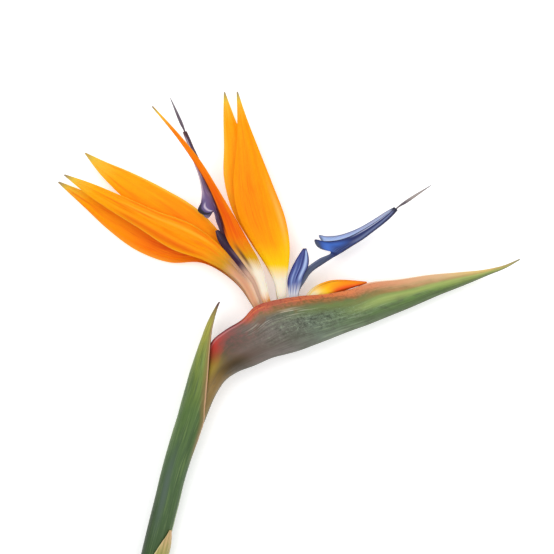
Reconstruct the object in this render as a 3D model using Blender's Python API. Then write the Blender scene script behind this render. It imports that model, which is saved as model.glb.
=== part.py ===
"""Bird of paradise flower, picked with a short length of stem and lying on its side.

The tables are in millimetres. +X runs along the spathe to its tip, +Y the way the upright
sepals point, +Z up from the surface that the flower lies on. The origin is the middle of the
flat spot where the spathe's side rests. The build is in metres.
"""
import math

import bmesh
import bpy
import numpy as np

MM = 0.001

# Driving sizes, in millimetres.
SEPAL_THICKNESS = 0.85      # sepals and hood petals, measured upright
ARROW_WALL = 0.65
SHEATH_UPPER_WALL = 0.8
SHEATH_LOWER_WALL = 1.0
SPATHE_WALL = 1.4
SPATHE_LIP = 0.9            # the wall where it thins to the spathe's edges
SPATHE_KEEL_WALL = 2.2
SPATHE_BELLY = 1.45         # moves the widest place of its section towards the keel
STYLE_RADIUS = 0.4
STYLE_DEPTH = 1.45          # the style's middle, from the outside of the arrow's keel
STIGMA_RADIUS = 0.5
STIGMA_TIP_RADIUS = 0.35
CHANNEL_DEPTH = 1.6         # arrow: from its keel to where the channel's walls run straight
CHANNEL_HALF_WIDTH = 1.7    # arrow: half the channel, measured up and down

# Mesh density.
BLADE_ROWS = 15
BLADE_COLUMNS = 6
ARROW_ROWS = 10             # in the shaft, and again in the head
STYLE_ROWS = 24
STYLE_SIDES = 6
OVARY_ROWS = 13
BUD_ROWS = 20
BODY_SIDES = 12
SPATHE_ROWS = 46
SPATHE_SIDE_POINTS = 8
POCKET_ROWS = 28
POCKET_SIDE_POINTS = 5
SHEATH_COLUMNS = 16
SCAPE_ROWS = 16
SCAPE_SIDES = 14
SMOOTH_ANGLE = math.radians(50)

# Sepals and hood petals, from base to tip: one edge (x, y), the other edge (x, y), the height of
# the edges, and how far the middle rises above them (less than 0: a channel seen from above).
SEPAL_LEFT_BACK = (
    (-55.6, -1.6, -51.7, 0.1, 9.5, -0.5),
    (-60.0, 5.2, -53.9, 8.0, 9.6, -0.6),
    (-65.7, 13.5, -57.2, 17.9, 9.7, -0.6),
    (-73.2, 20.9, -62.2, 27.0, 9.8, -0.4),
    (-86.4, 30.3, -74.2, 40.7, 9.9, 0.3),
    (-103.4, 40.7, -88.8, 56.1, 9.9, 1.0),
    (-120.5, 54.5, -108.9, 68.5, 9.6, 1.2),
    (-135.9, 68.2, -128.7, 78.1, 9.1, 0.8),
    (-144.1, 77.0, -140.2, 82.8, 8.6, 0.5),
    (-152.0, 87.6, -151.2, 87.9, 8.1, 0.1),
)
SEPAL_LEFT_FRONT = (
    (-56.4, -1.9, -52.8, -0.4, 15.6, 0.7),
    (-60.2, 5.0, -55.6, 7.4, 15.8, 0.9),
    (-65.5, 13.8, -59.1, 17.1, 16.3, 1.2),
    (-72.6, 20.9, -64.4, 26.7, 16.9, 1.5),
    (-85.2, 28.1, -75.9, 38.2, 17.2, 1.8),
    (-102.9, 34.4, -91.9, 47.9, 16.8, 2.0),
    (-122.1, 46.5, -112.2, 55.6, 15.8, 1.8),
    (-139.7, 57.5, -132.6, 64.6, 14.8, 1.3),
    (-150.7, 65.2, -147.4, 70.7, 14.2, 0.8),
    (-162.8, 75.1, -162.2, 75.7, 13.6, 0.1),
)
SEPAL_LEFT_LOW = (
    (-56.1, -1.8, -52.3, -0.2, 8.1, -0.5),
    (-60.1, 4.4, -54.5, 6.9, 7.9, -0.6),
    (-65.7, 12.7, -58.9, 16.0, 7.6, -0.9),
    (-74.2, 20.4, -66.6, 25.3, 7.0, -1.4),
    (-88.0, 27.2, -79.2, 37.4, 5.6, -2.0),
    (-104.5, 27.2, -93.5, 43.7, 4.1, -2.5),
    (-122.1, 33.3, -110.0, 50.9, 3.4, -2.8),
    (-139.7, 45.9, -130.9, 58.9, 3.3, -2.4),
    (-152.9, 58.3, -148.0, 65.2, 3.5, -1.6),
    (-167.0, 71.5, -166.4, 72.2, 4.4, -0.1),
)
SEPAL_NARROW = (
    (-51.7, 0.1, -48.1, 1.6, 15.6, 0.8),
    (-54.2, 7.4, -49.8, 8.8, 15.9, 1.0),
    (-57.8, 17.1, -52.0, 18.2, 16.7, 1.2),
    (-64.4, 27.0, -55.0, 27.5, 17.9, 1.3),
    (-72.1, 38.0, -60.5, 37.4, 18.9, 1.6),
    (-77.0, 52.8, -68.8, 52.3, 19.6, 1.7),
    (-83.1, 67.7, -77.6, 67.1, 19.9, 1.6),
    (-91.3, 82.2, -87.2, 82.5, 19.9, 1.2),
    (-100.7, 95.7, -98.2, 96.3, 19.3, 0.7),
    (-114.3, 112.4, -113.6, 113.0, 18.2, 0.1),
)
SEPAL_UPRIGHT_BACK = (
    (-44.8, 2.5, -41.0, 3.0, 10.9, -0.8),
    (-46.1, 8.8, -41.8, 8.8, 10.8, -0.9),
    (-46.9, 14.9, -42.4, 14.9, 10.6, -0.8),
    (-50.6, 23.1, -42.4, 22.0, 10.3, -0.5),
    (-59.4, 36.9, -45.7, 34.1, 10.1, 0.3),
    (-69.9, 55.0, -52.3, 52.8, 10.2, 0.9),
    (-74.9, 73.7, -57.2, 72.6, 10.3, 1.1),
    (-74.9, 91.9, -62.7, 91.3, 10.2, 1.0),
    (-75.2, 108.4, -69.3, 107.8, 9.9, 0.6),
    (-75.0, 121.2, -74.3, 121.4, 9.4, 0.1),
)
SEPAL_UPRIGHT_FRONT = (
    (-43.7, 2.65, -39.9, 3.2, 14.2, 0.7),
    (-45.5, 8.8, -40.5, 8.8, 14.3, 0.9),
    (-46.8, 15.1, -40.7, 14.9, 14.4, 1.0),
    (-49.8, 23.1, -39.6, 22.6, 14.5, 1.1),
    (-57.8, 35.8, -38.6, 34.7, 14.5, 1.2),
    (-66.6, 52.3, -41.0, 51.2, 14.5, 1.3),
    (-69.6, 71.0, -48.1, 70.4, 14.5, 1.3),
    (-68.2, 89.1, -55.3, 88.6, 14.3, 1.2),
    (-67.5, 106.7, -62.3, 106.7, 13.9, 0.8),
    (-67.9, 121.0, -67.1, 121.2, 13.4, 0.1),
)
HOOD_PETAL_LEFT = (
    (-53.4, -0.7, -50.6, 0.6, 14.4, 0.1),
    (-56.1, 6.9, -53.1, 8.2, 14.5, 0.1),
    (-60.2, 16.0, -57.2, 17.6, 14.6, 0.2),
    (-67.1, 25.0, -63.0, 28.1, 14.8, 0.3),
    (-74.8, 34.1, -68.8, 35.5, 15.2, 0.6),
    (-78.4, 40.2, -74.0, 41.5, 15.5, 0.5),
    (-79.5, 44.6, -77.8, 45.2, 15.6, 0.1),
)
HOOD_PETAL_RIGHT = (
    (-38.3, 3.4, -34.7, 3.95, 15.1, 0.4),
    (-39.5, 11.3, -33.6, 11.8, 15.3, 0.6),
    (-39.9, 17.6, -31.1, 19.5, 15.5, 1.0),
    (-37.7, 24.2, -28.4, 25.6, 15.7, 1.3),
    (-34.1, 30.8, -28.4, 31.1, 15.9, 0.9),
    (-31.4, 34.9, -29.5, 35.0, 16.0, 0.2),
)

# The fused petals of each arrow: upper edge, keel and lower edge, each (x, y, z). The shaft runs
# from the base to the barbs, and the head from the barbs' points to the arrow's tip.
ARROW_LEFT_SHAFT = (
    ((-53.0, -0.5, 13.4), (-50.4, 0.6, 11.7), (-53.0, -0.5, 10.0)),
    ((-54.7, 6.3, 13.4), (-51.8, 7.7, 11.7), (-54.7, 6.3, 10.0)),
    ((-58.6, 16.0, 13.5), (-55.8, 17.7, 11.8), (-58.6, 16.0, 10.1)),
    ((-66.3, 26.1, 13.8), (-63.8, 28.2, 12.1), (-66.3, 26.1, 10.4)),
    ((-74.5, 38.5, 14.3), (-71.9, 39.7, 12.6), (-74.5, 38.5, 10.9)),
    ((-78.9, 49.2, 14.6), (-76.3, 50.4, 12.9), (-78.9, 49.2, 11.2)),
    ((-81.6, 56.0, 14.8), (-79.1, 57.8, 13.1), (-81.4, 55.9, 11.4)),
)
ARROW_LEFT_HEAD = (
    ((-88.9, 55.3, 16.2), (-80.1, 60.3, 13.2), (-85.5, 52.7, 11.0)),
    ((-86.8, 62.7, 16.4), (-82.2, 65.7, 13.4), (-86.1, 61.6, 10.9)),
    ((-87.9, 72.1, 16.2), (-85.0, 73.2, 13.6), (-87.5, 71.5, 11.3)),
    ((-90.9, 80.9, 15.8), (-87.5, 82.0, 13.7), (-90.5, 80.3, 11.8)),
    ((-94.4, 90.5, 15.6), (-91.7, 91.3, 13.8), (-94.2, 90.2, 12.1)),
    ((-96.3, 95.7, 15.5), (-93.8, 96.3, 13.9), (-96.2, 95.4, 12.3)),
    ((-97.4, 98.7, 15.4), (-95.2, 99.3, 14.0), (-97.4, 98.7, 12.6)),
)
ARROW_RIGHT_SHAFT = (
    ((-37.2, 3.6, 14.1), (-34.5, 4.0, 12.4), (-37.2, 3.6, 10.7)),
    ((-36.6, 10.7, 14.1), (-33.2, 11.6, 12.4), (-36.6, 10.7, 10.7)),
    ((-33.8, 17.9, 14.1), (-30.5, 16.2, 12.4), (-33.8, 17.9, 10.7)),
    ((-28.9, 24.6, 14.1), (-26.6, 21.8, 12.4), (-28.9, 24.6, 10.7)),
    ((-22.6, 29.3, 14.1), (-20.6, 26.1, 12.4), (-22.6, 29.3, 10.7)),
    ((-15.7, 33.4, 14.1), (-13.8, 30.4, 12.4), (-15.7, 33.4, 10.7)),
    ((-14.2, 33.3, 14.2), (-11.7, 31.5, 12.4), (-14.2, 33.3, 10.6)),
)
ARROW_RIGHT_HEAD = (
    ((-24.9, 39.4, 16.6), (-9.4, 32.9, 12.4), (-22.7, 42.2, 8.4)),
    ((-15.4, 39.1, 16.8), (-4.4, 36.0, 12.4), (-14.9, 41.9, 8.2)),
    ((-7.2, 41.0, 16.4), (1.7, 39.9, 12.4), (-7.2, 43.6, 8.6)),
    ((0.6, 44.8, 15.6), (7.2, 44.0, 12.5), (0.0, 46.6, 9.4)),
    ((8.8, 49.8, 14.9), (13.2, 48.6, 12.6), (8.2, 51.4, 10.3)),
    ((15.3, 54.4, 14.5), (17.9, 52.8, 12.8), (14.9, 55.7, 11.1)),
    ((19.0, 57.4, 14.3), (20.7, 55.9, 12.9), (18.9, 57.8, 11.5)),
)

# The stigmas, from the arrow's tip to their own: the middle line (x, y, z).
STIGMA_LEFT = ((-100.1, 108.1, 14.1), (-104.3, 117.7, 14.2))
STIGMA_RIGHT = ((27.0, 61.4, 13.0), (39.1, 69.7, 13.1))

# Ovaries with their stalks, and the closed bud: the middle line (x, y, z), and the half widths
# across the flower and up and down.
OVARY_LEFT = (
    (-79.1, -26.5, 12.6, 1.8, 1.8), (-74.9, -19.4, 12.6, 1.8, 1.8),
    (-66.5, -15.0, 12.4, 2.0, 2.0), (-57.5, -11.5, 12.2, 2.3, 2.5),
    (-52.0, -7.0, 12.0, 3.3, 3.6), (-51.1, -3.6, 11.9, 4.3, 4.5),
    (-52.13, -0.44, 11.9, 4.9, 4.9),
)
OVARY_RIGHT = (
    (-75.2, -28.4, 12.6, 1.8, 1.8), (-73.3, -24.9, 12.6, 1.8, 1.8),
    (-66.5, -20.5, 12.6, 2.0, 2.0), (-55.0, -16.5, 12.5, 2.2, 2.2),
    (-46.0, -11.0, 12.5, 2.8, 2.8), (-41.5, -4.0, 12.4, 4.2, 3.4),
    (-39.66, 2.92, 12.4, 5.5, 3.7),
)
BUD = (
    (-71.1, -30.1, 12.6, 1.7, 1.7), (-69.9, -27.8, 12.6, 1.7, 1.7),
    (-62.5, -25.0, 12.6, 1.8, 1.8), (-50.6, -20.2, 12.4, 2.0, 2.0),
    (-38.0, -13.6, 12.0, 2.4, 2.4), (-29.5, -2.2, 11.5, 3.0, 2.8),
    (-24.8, 8.5, 10.9, 4.3, 2.7), (-16.0, 13.0, 10.1, 4.3, 2.2),
    (-7.7, 14.9, 9.5, 2.8, 1.5), (-1.1, 15.7, 9.1, 1.5, 0.9),
    (3.9, 16.2, 8.8, 0.5, 0.4),
)
OVARY_LEFT_TOP = (0.919, 0.395, 0.0)      # the way that each ovary's flat top runs
OVARY_RIGHT_TOP = (0.990, 0.142, 0.0)

# Spathe, from its neck to its tip: top edge (x, y), keel (x, y), half thickness, height of its
# middle plane, half the slit between its edges, where the pocket's roof lies between top edge (0)
# and keel (1), less than 0 where it is open, and the section: 0 round, 1 a folded leaf.
SPATHE = (
    (-102.25, -69.65, -91.35, -73.35, 5.6, 11.2, 0.0, 0.2, 0.0),
    (-96.8, -56.1, -85.8, -61.1, 5.7, 11.6, 0.0, 0.2, 0.0),
    (-89.7, -40.7, -78.7, -44.6, 6.0, 12.2, 0.0, 0.2, 0.0),
    (-86.4, -31.9, -73.7, -37.4, 7.0, 12.4, 0.1, 0.2, 0.25),
    (-84.2, -24.2, -67.1, -33.0, 9.0, 12.6, 0.2, 0.16, 0.75),
    (-81.4, -16.0, -57.8, -29.4, 10.8, 12.8, 0.3, 0.14, 1.0),
    (-74.2, -9.9, -48.4, -25.3, 11.6, 12.8, 0.9, 0.08, 1.0),
    (-64.9, -4.1, -41.2, -23.4, 11.8, 12.7, 4.5, -0.2, 1.0),
    (-57.8, 3.0, -34.1, -21.5, 11.8, 12.4, 6.2, -0.3, 1.0),
    (-46.8, 6.6, -26.4, -18.7, 11.6, 12.1, 5.8, -0.3, 1.0),
    (-33.0, 8.8, -17.6, -15.4, 11.0, 11.3, 4.9, -0.3, 1.0),
    (-19.2, 9.9, -7.2, -11.3, 10.1, 9.9, 3.5, -0.3, 1.0),
    (-5.5, 12.4, 4.4, -7.2, 9.2, 8.8, 2.3, -0.3, 1.0),
    (5.5, 16.3, 15.4, -2.8, 8.4, 8.15, 1.4, -0.3, 1.0),
    (22.0, 18.2, 29.2, 2.8, 6.6, 7.6, 0.8, -0.3, 1.0),
    (38.5, 20.6, 44.0, 9.2, 5.0, 7.2, 0.6, -0.3, 1.0),
    (55.0, 22.0, 58.9, 15.1, 3.4, 7.4, 0.5, -0.3, 1.0),
    (68.8, 23.4, 71.0, 20.2, 1.9, 7.9, 0.2, -0.3, 0.9),
    (79.8, 25.9, 80.9, 24.3, 1.0, 8.5, 0.0, -0.3, 0.5),
    (88.0, 29.3, 88.4, 28.7, 0.5, 9.2, 0.0, -0.3, 0.2),
)
POCKET_FIRST = 4            # rows of SPATHE between which the pocket runs
POCKET_LAST = 16

# Scape: the middle line (x, y, z) and the radius, from the spathe's neck to the cut end.
SCAPE = (
    (-96.95, -71.95, 11.1, 5.5), (-100.2, -81.4, 10.75, 5.7), (-103.4, -92.4, 10.3, 5.9),
    (-105.9, -103.4, 9.9, 6.0), (-108.6, -114.4, 9.5, 6.0), (-112.5, -130.9, 9.1, 6.0),
    (-117.7, -154.0, 8.65, 6.1), (-122.4, -177.1, 8.3, 6.2), (-124.9, -188.7, 8.1, 6.2),
)

# Sheathing bracts: the middle line (x, y, z), the outer radius, and the angles about that line
# at which the two margins lie. 0 degrees is the stem's right side, 90 degrees is up.
SHEATH_UPPER = (
    (-116.9, -151.8, 8.72, 7.4, 4, 356), (-112.5, -130.9, 9.1, 7.4, 4, 356),
    (-108.6, -114.4, 9.5, 7.3, 4, 356), (-105.9, -103.4, 9.9, 7.3, 4, 356),
    (-103.4, -92.4, 10.3, 7.3, 4, 356), (-100.2, -81.4, 10.7, 7.6, 4, 356),
    (-96.8, -71.5, 11.1, 8.2, 6, 354), (-93.8, -62.2, 11.4, 8.3, 16, 344),
    (-90.2, -51.2, 11.8, 8.5, 52, 308), (-87.2, -41.8, 12.1, 9.8, 72, 288),
    (-85.6, -31.9, 12.3, 8.4, 74, 286), (-84.2, -22.0, 12.5, 6.2, 78, 282),
    (-82.1, -12.7, 12.7, 4.4, 86, 274), (-79.2, -4.4, 13.1, 3.8, 106, 254),
    (-76.7, 1.4, 13.4, 3.2, 126, 234), (-75.2, 4.6, 13.6, 2.6, 160, 200),
)
SHEATH_LOWER = (
    (-121.3, -171.6, 8.35, 8.3, -138, 214), (-119.1, -161.7, 8.55, 8.95, -138, 214),
    (-117.2, -152.9, 8.7, 9.0, -120, 178), (-115.0, -142.5, 8.9, 8.9, -72, 132),
    (-112.8, -132.3, 9.1, 8.8, -20, 88), (-111.1, -124.9, 9.25, 8.7, 18, 71),
    (-109.6, -118.3, 9.4, 8.65, 41, 49),
)


def new_material(name, colour, roughness):
    """A plain plant surface of one colour."""
    material = bpy.data.materials.new(name)
    material.use_nodes = True
    shader = material.node_tree.nodes["Principled BSDF"]
    shader.inputs["Base Color"].default_value = (*colour, 1.0)
    shader.inputs["Roughness"].default_value = roughness
    shader.inputs["Metallic"].default_value = 0.0
    return material


def smooth_rows(rows, count):
    """Values read from a smooth curve through the rows, evenly spaced along its length."""
    rows = np.asarray(rows, dtype=float)
    values = rows.reshape(len(rows), -1)
    steps = np.linalg.norm(np.diff(values, axis=0), axis=1)
    place = np.concatenate(([0.0], np.cumsum(steps)))
    slope = np.gradient(values, place, axis=0)
    wanted = np.linspace(0.0, place[-1], count)
    cell = np.clip(np.searchsorted(place, wanted, side="right") - 1, 0, len(place) - 2)
    length = (place[cell + 1] - place[cell])[:, None]
    t = (wanted[:, None] - place[cell][:, None]) / length
    start_weight = 2 * t**3 - 3 * t**2 + 1
    start_slope = (t**3 - 2 * t**2 + t) * length
    end_slope = (t**3 - t**2) * length
    smooth = (
        start_weight * values[cell]
        + (1 - start_weight) * values[cell + 1]
        + start_slope * slope[cell]
        + end_slope * slope[cell + 1]
    )
    return smooth.reshape((count,) + rows.shape[1:])


def add_object(name, points, faces, material):
    """A smooth-shaded object from points in millimetres."""
    mesh = bpy.data.meshes.new(name)
    mesh.from_pydata([tuple(float(v) * MM for v in p) for p in points], [], faces)
    mesh.materials.append(material)
    mesh.shade_smooth()
    mesh.set_sharp_from_angle(angle=SMOOTH_ANGLE)
    mesh.update()
    piece = bpy.data.objects.new(name, mesh)
    bpy.context.scene.collection.objects.link(piece)
    return piece


def add_shell(name, outer, inner, material):
    """A blade with a wall: a grid of points on one face and the same grid on the other."""
    rows, columns = outer.shape[:2]
    below = rows * columns
    faces = []
    for r in range(rows - 1):
        for c in range(columns - 1):
            a = r * columns + c
            b = a + columns
            faces += [(a, a + 1, b + 1), (a, b + 1, b)]
            faces += [(below + a, below + b + 1, below + a + 1), (below + a, below + b, below + b + 1)]
    rim = [r * columns for r in range(rows)]
    rim += [(rows - 1) * columns + c for c in range(1, columns)]
    rim += [r * columns + columns - 1 for r in range(rows - 2, -1, -1)]
    rim += list(range(columns - 2, 0, -1))
    faces += [(a, b, below + b, below + a) for a, b in zip(rim, rim[1:] + rim[:1])]
    return add_object(name, np.concatenate((outer, inner)).reshape(-1, 3), faces, material)


def add_loft(name, rings, material):
    """A closed body through rings of points, with flat ends."""
    count = len(rings)
    around = len(rings[0])
    mesh_points = np.asarray(rings).reshape(-1, 3)
    faces = [
        (r * around + i, (r + 1) * around + i, (r + 1) * around + (i + 1) % around,
         r * around + (i + 1) % around)
        for r in range(count - 1)
        for i in range(around)
    ]
    faces.append(tuple(range(around)))
    faces.append(tuple((count - 1) * around + i for i in reversed(range(around))))
    body = add_object(name, mesh_points, faces, material)
    tidy = bmesh.new()
    tidy.from_mesh(body.data)
    bmesh.ops.recalc_face_normals(tidy, faces=tidy.faces)
    tidy.to_mesh(body.data)
    tidy.free()
    return body


def as_cutter(piece):
    """Keep a helper body out of the model itself."""
    piece.hide_render = True
    piece.display_type = "WIRE"
    return piece


def cut(piece, cutter):
    """Take the cutter's space out of a piece."""
    boolean = piece.modifiers.new("cut", "BOOLEAN")
    boolean.operation = "DIFFERENCE"
    boolean.object = cutter


def level_frames(line):
    """Along a line, the unit vectors across it: one level with the surface, one upwards."""
    ahead = np.gradient(line, axis=0)
    ahead /= np.linalg.norm(ahead, axis=1)[:, None]
    across = np.cross(ahead, (0.0, 0.0, 1.0))
    across /= np.linalg.norm(across, axis=1)[:, None]
    return across, np.cross(across, ahead)


def blade_section(edge_a, middle, edge_b, per_side):
    """Points from one edge over the middle to the other, level along the middle."""
    width_a = np.linalg.norm(edge_a - middle)
    width_b = np.linalg.norm(edge_b - middle)
    across = (edge_b - edge_a) / (width_a + width_b)
    points = []
    for edge, width, sign in ((edge_a, width_a, -1.0), (edge_b, width_b, 1.0)):
        tangent = sign * width * across
        for i in range(1, per_side + 1):
            s = i / per_side
            points.append(middle + tangent * s + (edge - middle - tangent) * s * s)
    side_a = points[:per_side][::-1]
    return side_a + [middle] + points[per_side:]


def blade_grid(table, keel=0.5):
    """The upper face of a sepal or petal. keel is where the middle line lies between edges."""
    grid = []
    for ax, ay, bx, by, z, rise in smooth_rows(table, BLADE_ROWS):
        edge_a = np.array((ax, ay, z))
        edge_b = np.array((bx, by, z))
        middle = edge_a + (edge_b - edge_a) * keel + np.array((0.0, 0.0, rise))
        grid.append(blade_section(edge_a, middle, edge_b, BLADE_COLUMNS // 2))
    return upward(np.array(grid))


def upward(grid):
    """The same grid, run so that its faces look up."""
    row = grid[1, 0] - grid[0, 0]
    column = grid[0, 1] - grid[0, 0]
    return grid if np.cross(column, row)[2] > 0 else grid[:, ::-1]


def arrow_section(edge_a, keel, edge_b):
    """A channel round the style, whose walls run on straight into the two wings.

    The outer face's points from one edge to the other, and the inner face's.
    """
    inward = (edge_a + edge_b) / 2 - keel
    inward[2] = 0.0
    inward /= np.linalg.norm(inward)
    up = np.array((0.0, 0.0, 1.0))
    sides = []
    for edge, sign in ((edge_a, 1.0), (edge_b, -1.0)):
        side = []
        for angle in np.radians((25, 55, 90)):
            bend = inward * CHANNEL_DEPTH * (1 - math.cos(angle))
            side.append(keel + bend + up * sign * CHANNEL_HALF_WIDTH * math.sin(angle))
        corner = side[-1]
        sides.append(side + [corner + (edge - corner) * 0.5, edge])
    outer = np.array(sides[0][::-1] + [keel] + sides[1])
    along = np.gradient(outer, axis=0)
    across = np.cross(along, np.cross(up, inward))
    across /= np.linalg.norm(across, axis=1)[:, None]
    return outer, outer + across * ARROW_WALL


def arrow_grids(shaft, head, rows):
    """The outer and the inner face of an arrow: the plain shaft, then the barbed head."""
    sections = [
        arrow_section(*row)
        for table in (shaft, head)
        for row in smooth_rows(table, rows)
    ]
    return np.array([outer for outer, _ in sections]), np.array([inner for _, inner in sections])


def ellipse_rings(table, count, sides, top=None):
    """Rings about a middle line: (x, y, z, half width level, half width upright).

    top turns the last ring to run that way, and the rings before it more and more.
    """
    table = smooth_rows(table, count)
    across, up = level_frames(table[:, :3])
    rings = []
    for i, (row, level, upright) in enumerate(zip(table, across, up)):
        if top is not None:
            turned = (i / (count - 1)) ** 2
            level = level * (1 - turned) + np.array(top) * turned
            level /= np.linalg.norm(level)
            upright = np.array((0.0, 0.0, 1.0))
        turns = [2 * math.pi * i / sides for i in range(sides)]
        rings.append([
            row[:3] + level * row[3] * math.cos(a) + upright * row[4] * math.sin(a)
            for a in turns
        ])
    return rings


def style_rings(shaft, head, stigma):
    """A slender rod within the arrow's channel, which thickens to the stigma beyond the tip."""
    line = []
    for edge_a, keel, edge_b in np.array(shaft + head):
        inward = (edge_a + edge_b) / 2 - keel
        inward[2] = 0.0
        line.append(keel + inward * STYLE_DEPTH / np.linalg.norm(inward))
    radii = [STYLE_RADIUS] * len(line)
    line += stigma
    radii += list(np.linspace(STIGMA_RADIUS, STIGMA_TIP_RADIUS, len(stigma)))
    table = [(*point, radius, radius) for point, radius in zip(line, radii)]
    return ellipse_rings(table, STYLE_ROWS, STYLE_SIDES)


def spathe_half_width(half, slit, share, fold):
    """Half thickness of the spathe, a share of the way from its top edge to its keel."""
    round_profile = 2 * math.sqrt(max(share * (1 - share), 0.0))
    folded_profile = max(math.sin(math.pi * max(share, 0.0) ** SPATHE_BELLY), 0.0) ** 0.85
    profile = round_profile * (1 - fold) + folded_profile * fold
    return half * profile + (slit + SPATHE_LIP * fold + 0.25 * (1 - fold)) * (1 - share) ** 3


def spathe_rings():
    """Outer rings of the spathe from its neck to its tip."""
    rings = []
    for ax, ay, kx, ky, half, z, slit, _, fold in smooth_rows(SPATHE, SPATHE_ROWS):
        shares = [(1 - math.cos(math.pi * i / SPATHE_SIDE_POINTS)) / 2
                  for i in range(SPATHE_SIDE_POINTS + 1)]
        near = []
        far = []
        for share in shares:
            x = ax + (kx - ax) * share
            y = ay + (ky - ay) * share
            width = spathe_half_width(half, slit, share, fold)
            near.append((x, y, z + width))
            far.append((x, y, z - width))
        rings.append(near[:-1] + [(kx, ky, z)] + far[-2::-1])
    return rings


def pocket_rings():
    """Rings of the space inside the spathe, open along the slit."""
    rings = []
    table = smooth_rows(SPATHE[POCKET_FIRST:POCKET_LAST + 1], POCKET_ROWS)
    for ax, ay, kx, ky, half, z, slit, roof, fold in table:
        height = math.hypot(kx - ax, ky - ay)
        floor = 1 - SPATHE_KEEL_WALL / height
        near = []
        far = []
        for i in range(POCKET_SIDE_POINTS + 1):
            share = roof + (floor - roof) * i / POCKET_SIDE_POINTS
            inside = max(share, 0.0)
            wall = SPATHE_LIP + (SPATHE_WALL - SPATHE_LIP) * min(inside / 0.3, 1.0)
            width = spathe_half_width(half, slit, inside, fold) - wall
            width = max(width, 0.3)
            x = ax + (kx - ax) * share
            y = ay + (ky - ay) * share
            near.append((x, y, z + width))
            far.append((x, y, z - width))
        rings.append(near + far[::-1])
    return rings


def add_sheath(name, table, rows, wall, material):
    """A bract that wraps the stem."""
    table = smooth_rows(table, rows)
    across, up = level_frames(table[:, :3])
    outer = []
    inner = []
    for row, level, upright in zip(table, across, up):
        start, end = np.radians(row[4:])
        for face, radius in ((outer, row[3]), (inner, row[3] - wall)):
            face.append([
                row[:3] + radius * (level * math.cos(a) + upright * math.sin(a))
                for a in np.linspace(start, end, SHEATH_COLUMNS + 1)
            ])
    return add_shell(name, np.array(outer)[:, ::-1], np.array(inner)[:, ::-1], material)


def add_surface_cutter():
    """A slab below the surface that the flower lies on, which flattens what rests there."""
    corners = [(x, y, z) for z in (-12.0, 0.0) for x in (-220.0, 140.0) for y in (-240.0, 170.0)]
    faces = [(0, 1, 3, 2), (4, 6, 7, 5), (0, 4, 5, 1), (2, 3, 7, 6), (0, 2, 6, 4), (1, 5, 7, 3)]
    return as_cutter(add_object("surface_cutter", corners, faces, MATERIALS["green"]))


def add_blade(name, table, keel, material):
    """A sepal or a hood petal, and its underside."""
    upper = blade_grid(table, keel)
    return add_shell(name, upper, upper - (0.0, 0.0, SEPAL_THICKNESS), material)


def add_sepals():
    """The orange blades, seen from above: three of the left flower, the narrow one, two upright."""
    for name, table, keel in (
        ("sepal_left_back", SEPAL_LEFT_BACK, 0.5),
        ("sepal_left_front", SEPAL_LEFT_FRONT, 0.5),
        ("sepal_left_low", SEPAL_LEFT_LOW, 0.25),
        ("sepal_narrow", SEPAL_NARROW, 0.5),
        ("sepal_upright_back", SEPAL_UPRIGHT_BACK, 0.5),
        ("sepal_upright_front", SEPAL_UPRIGHT_FRONT, 0.5),
    ):
        add_blade(name, table, keel, MATERIALS["orange"])
    cut(bpy.data.objects["sepal_left_low"], bpy.data.objects["surface_cutter"])


def add_petals():
    """The hooded petals, and the fused pairs that make the arrows."""
    blue = MATERIALS["blue"]
    purple = MATERIALS["purple"]
    add_blade("hood_petal_left", HOOD_PETAL_LEFT, 0.5, purple)
    add_blade("hood_petal_right", HOOD_PETAL_RIGHT, 0.5, blue)
    left = arrow_grids(ARROW_LEFT_SHAFT, ARROW_LEFT_HEAD, ARROW_ROWS)
    right = arrow_grids(ARROW_RIGHT_SHAFT, ARROW_RIGHT_HEAD, ARROW_ROWS)
    add_shell("arrow_petals_left", *left, purple)
    add_shell("arrow_petals_right", *right, blue)


def add_centres():
    """The styles, the ovaries that the petals stand on, and the bud that has yet to open."""
    cream = MATERIALS["cream"]
    style_left = style_rings(ARROW_LEFT_SHAFT, ARROW_LEFT_HEAD, STIGMA_LEFT)
    style_right = style_rings(ARROW_RIGHT_SHAFT, ARROW_RIGHT_HEAD, STIGMA_RIGHT)
    ovary_left = ellipse_rings(OVARY_LEFT, OVARY_ROWS, BODY_SIDES, OVARY_LEFT_TOP)
    ovary_right = ellipse_rings(OVARY_RIGHT, OVARY_ROWS, BODY_SIDES, OVARY_RIGHT_TOP)
    add_loft("style_left", style_left, cream)
    add_loft("style_right", style_right, cream)
    add_loft("ovary_left", ovary_left, cream)
    add_loft("ovary_right", ovary_right, cream)
    add_loft("bud_emerging", ellipse_rings(BUD, BUD_ROWS, BODY_SIDES), MATERIALS["orange"])


def add_spathe():
    """The boat-shaped bract and its neck, hollow where the flowers stand."""
    spathe = add_loft("spathe", spathe_rings(), MATERIALS["spathe"])
    pocket = as_cutter(add_loft("pocket_cutter", pocket_rings(), MATERIALS["spathe"]))
    cut(spathe, pocket)
    cut(spathe, bpy.data.objects["surface_cutter"])


def add_stem():
    """The scape and the two bracts that sheathe it."""
    green = MATERIALS["green"]
    scape = [(*row, row[3]) for row in SCAPE]
    add_loft("scape", ellipse_rings(scape, SCAPE_ROWS, SCAPE_SIDES), green)
    add_sheath("sheath_upper", SHEATH_UPPER, 26, SHEATH_UPPER_WALL, green)
    lower = add_sheath("sheath_lower", SHEATH_LOWER, 14, SHEATH_LOWER_WALL, MATERIALS["straw"])
    cut(lower, bpy.data.objects["surface_cutter"])


for old in list(bpy.data.objects):
    bpy.data.objects.remove(old, do_unlink=True)

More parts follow.
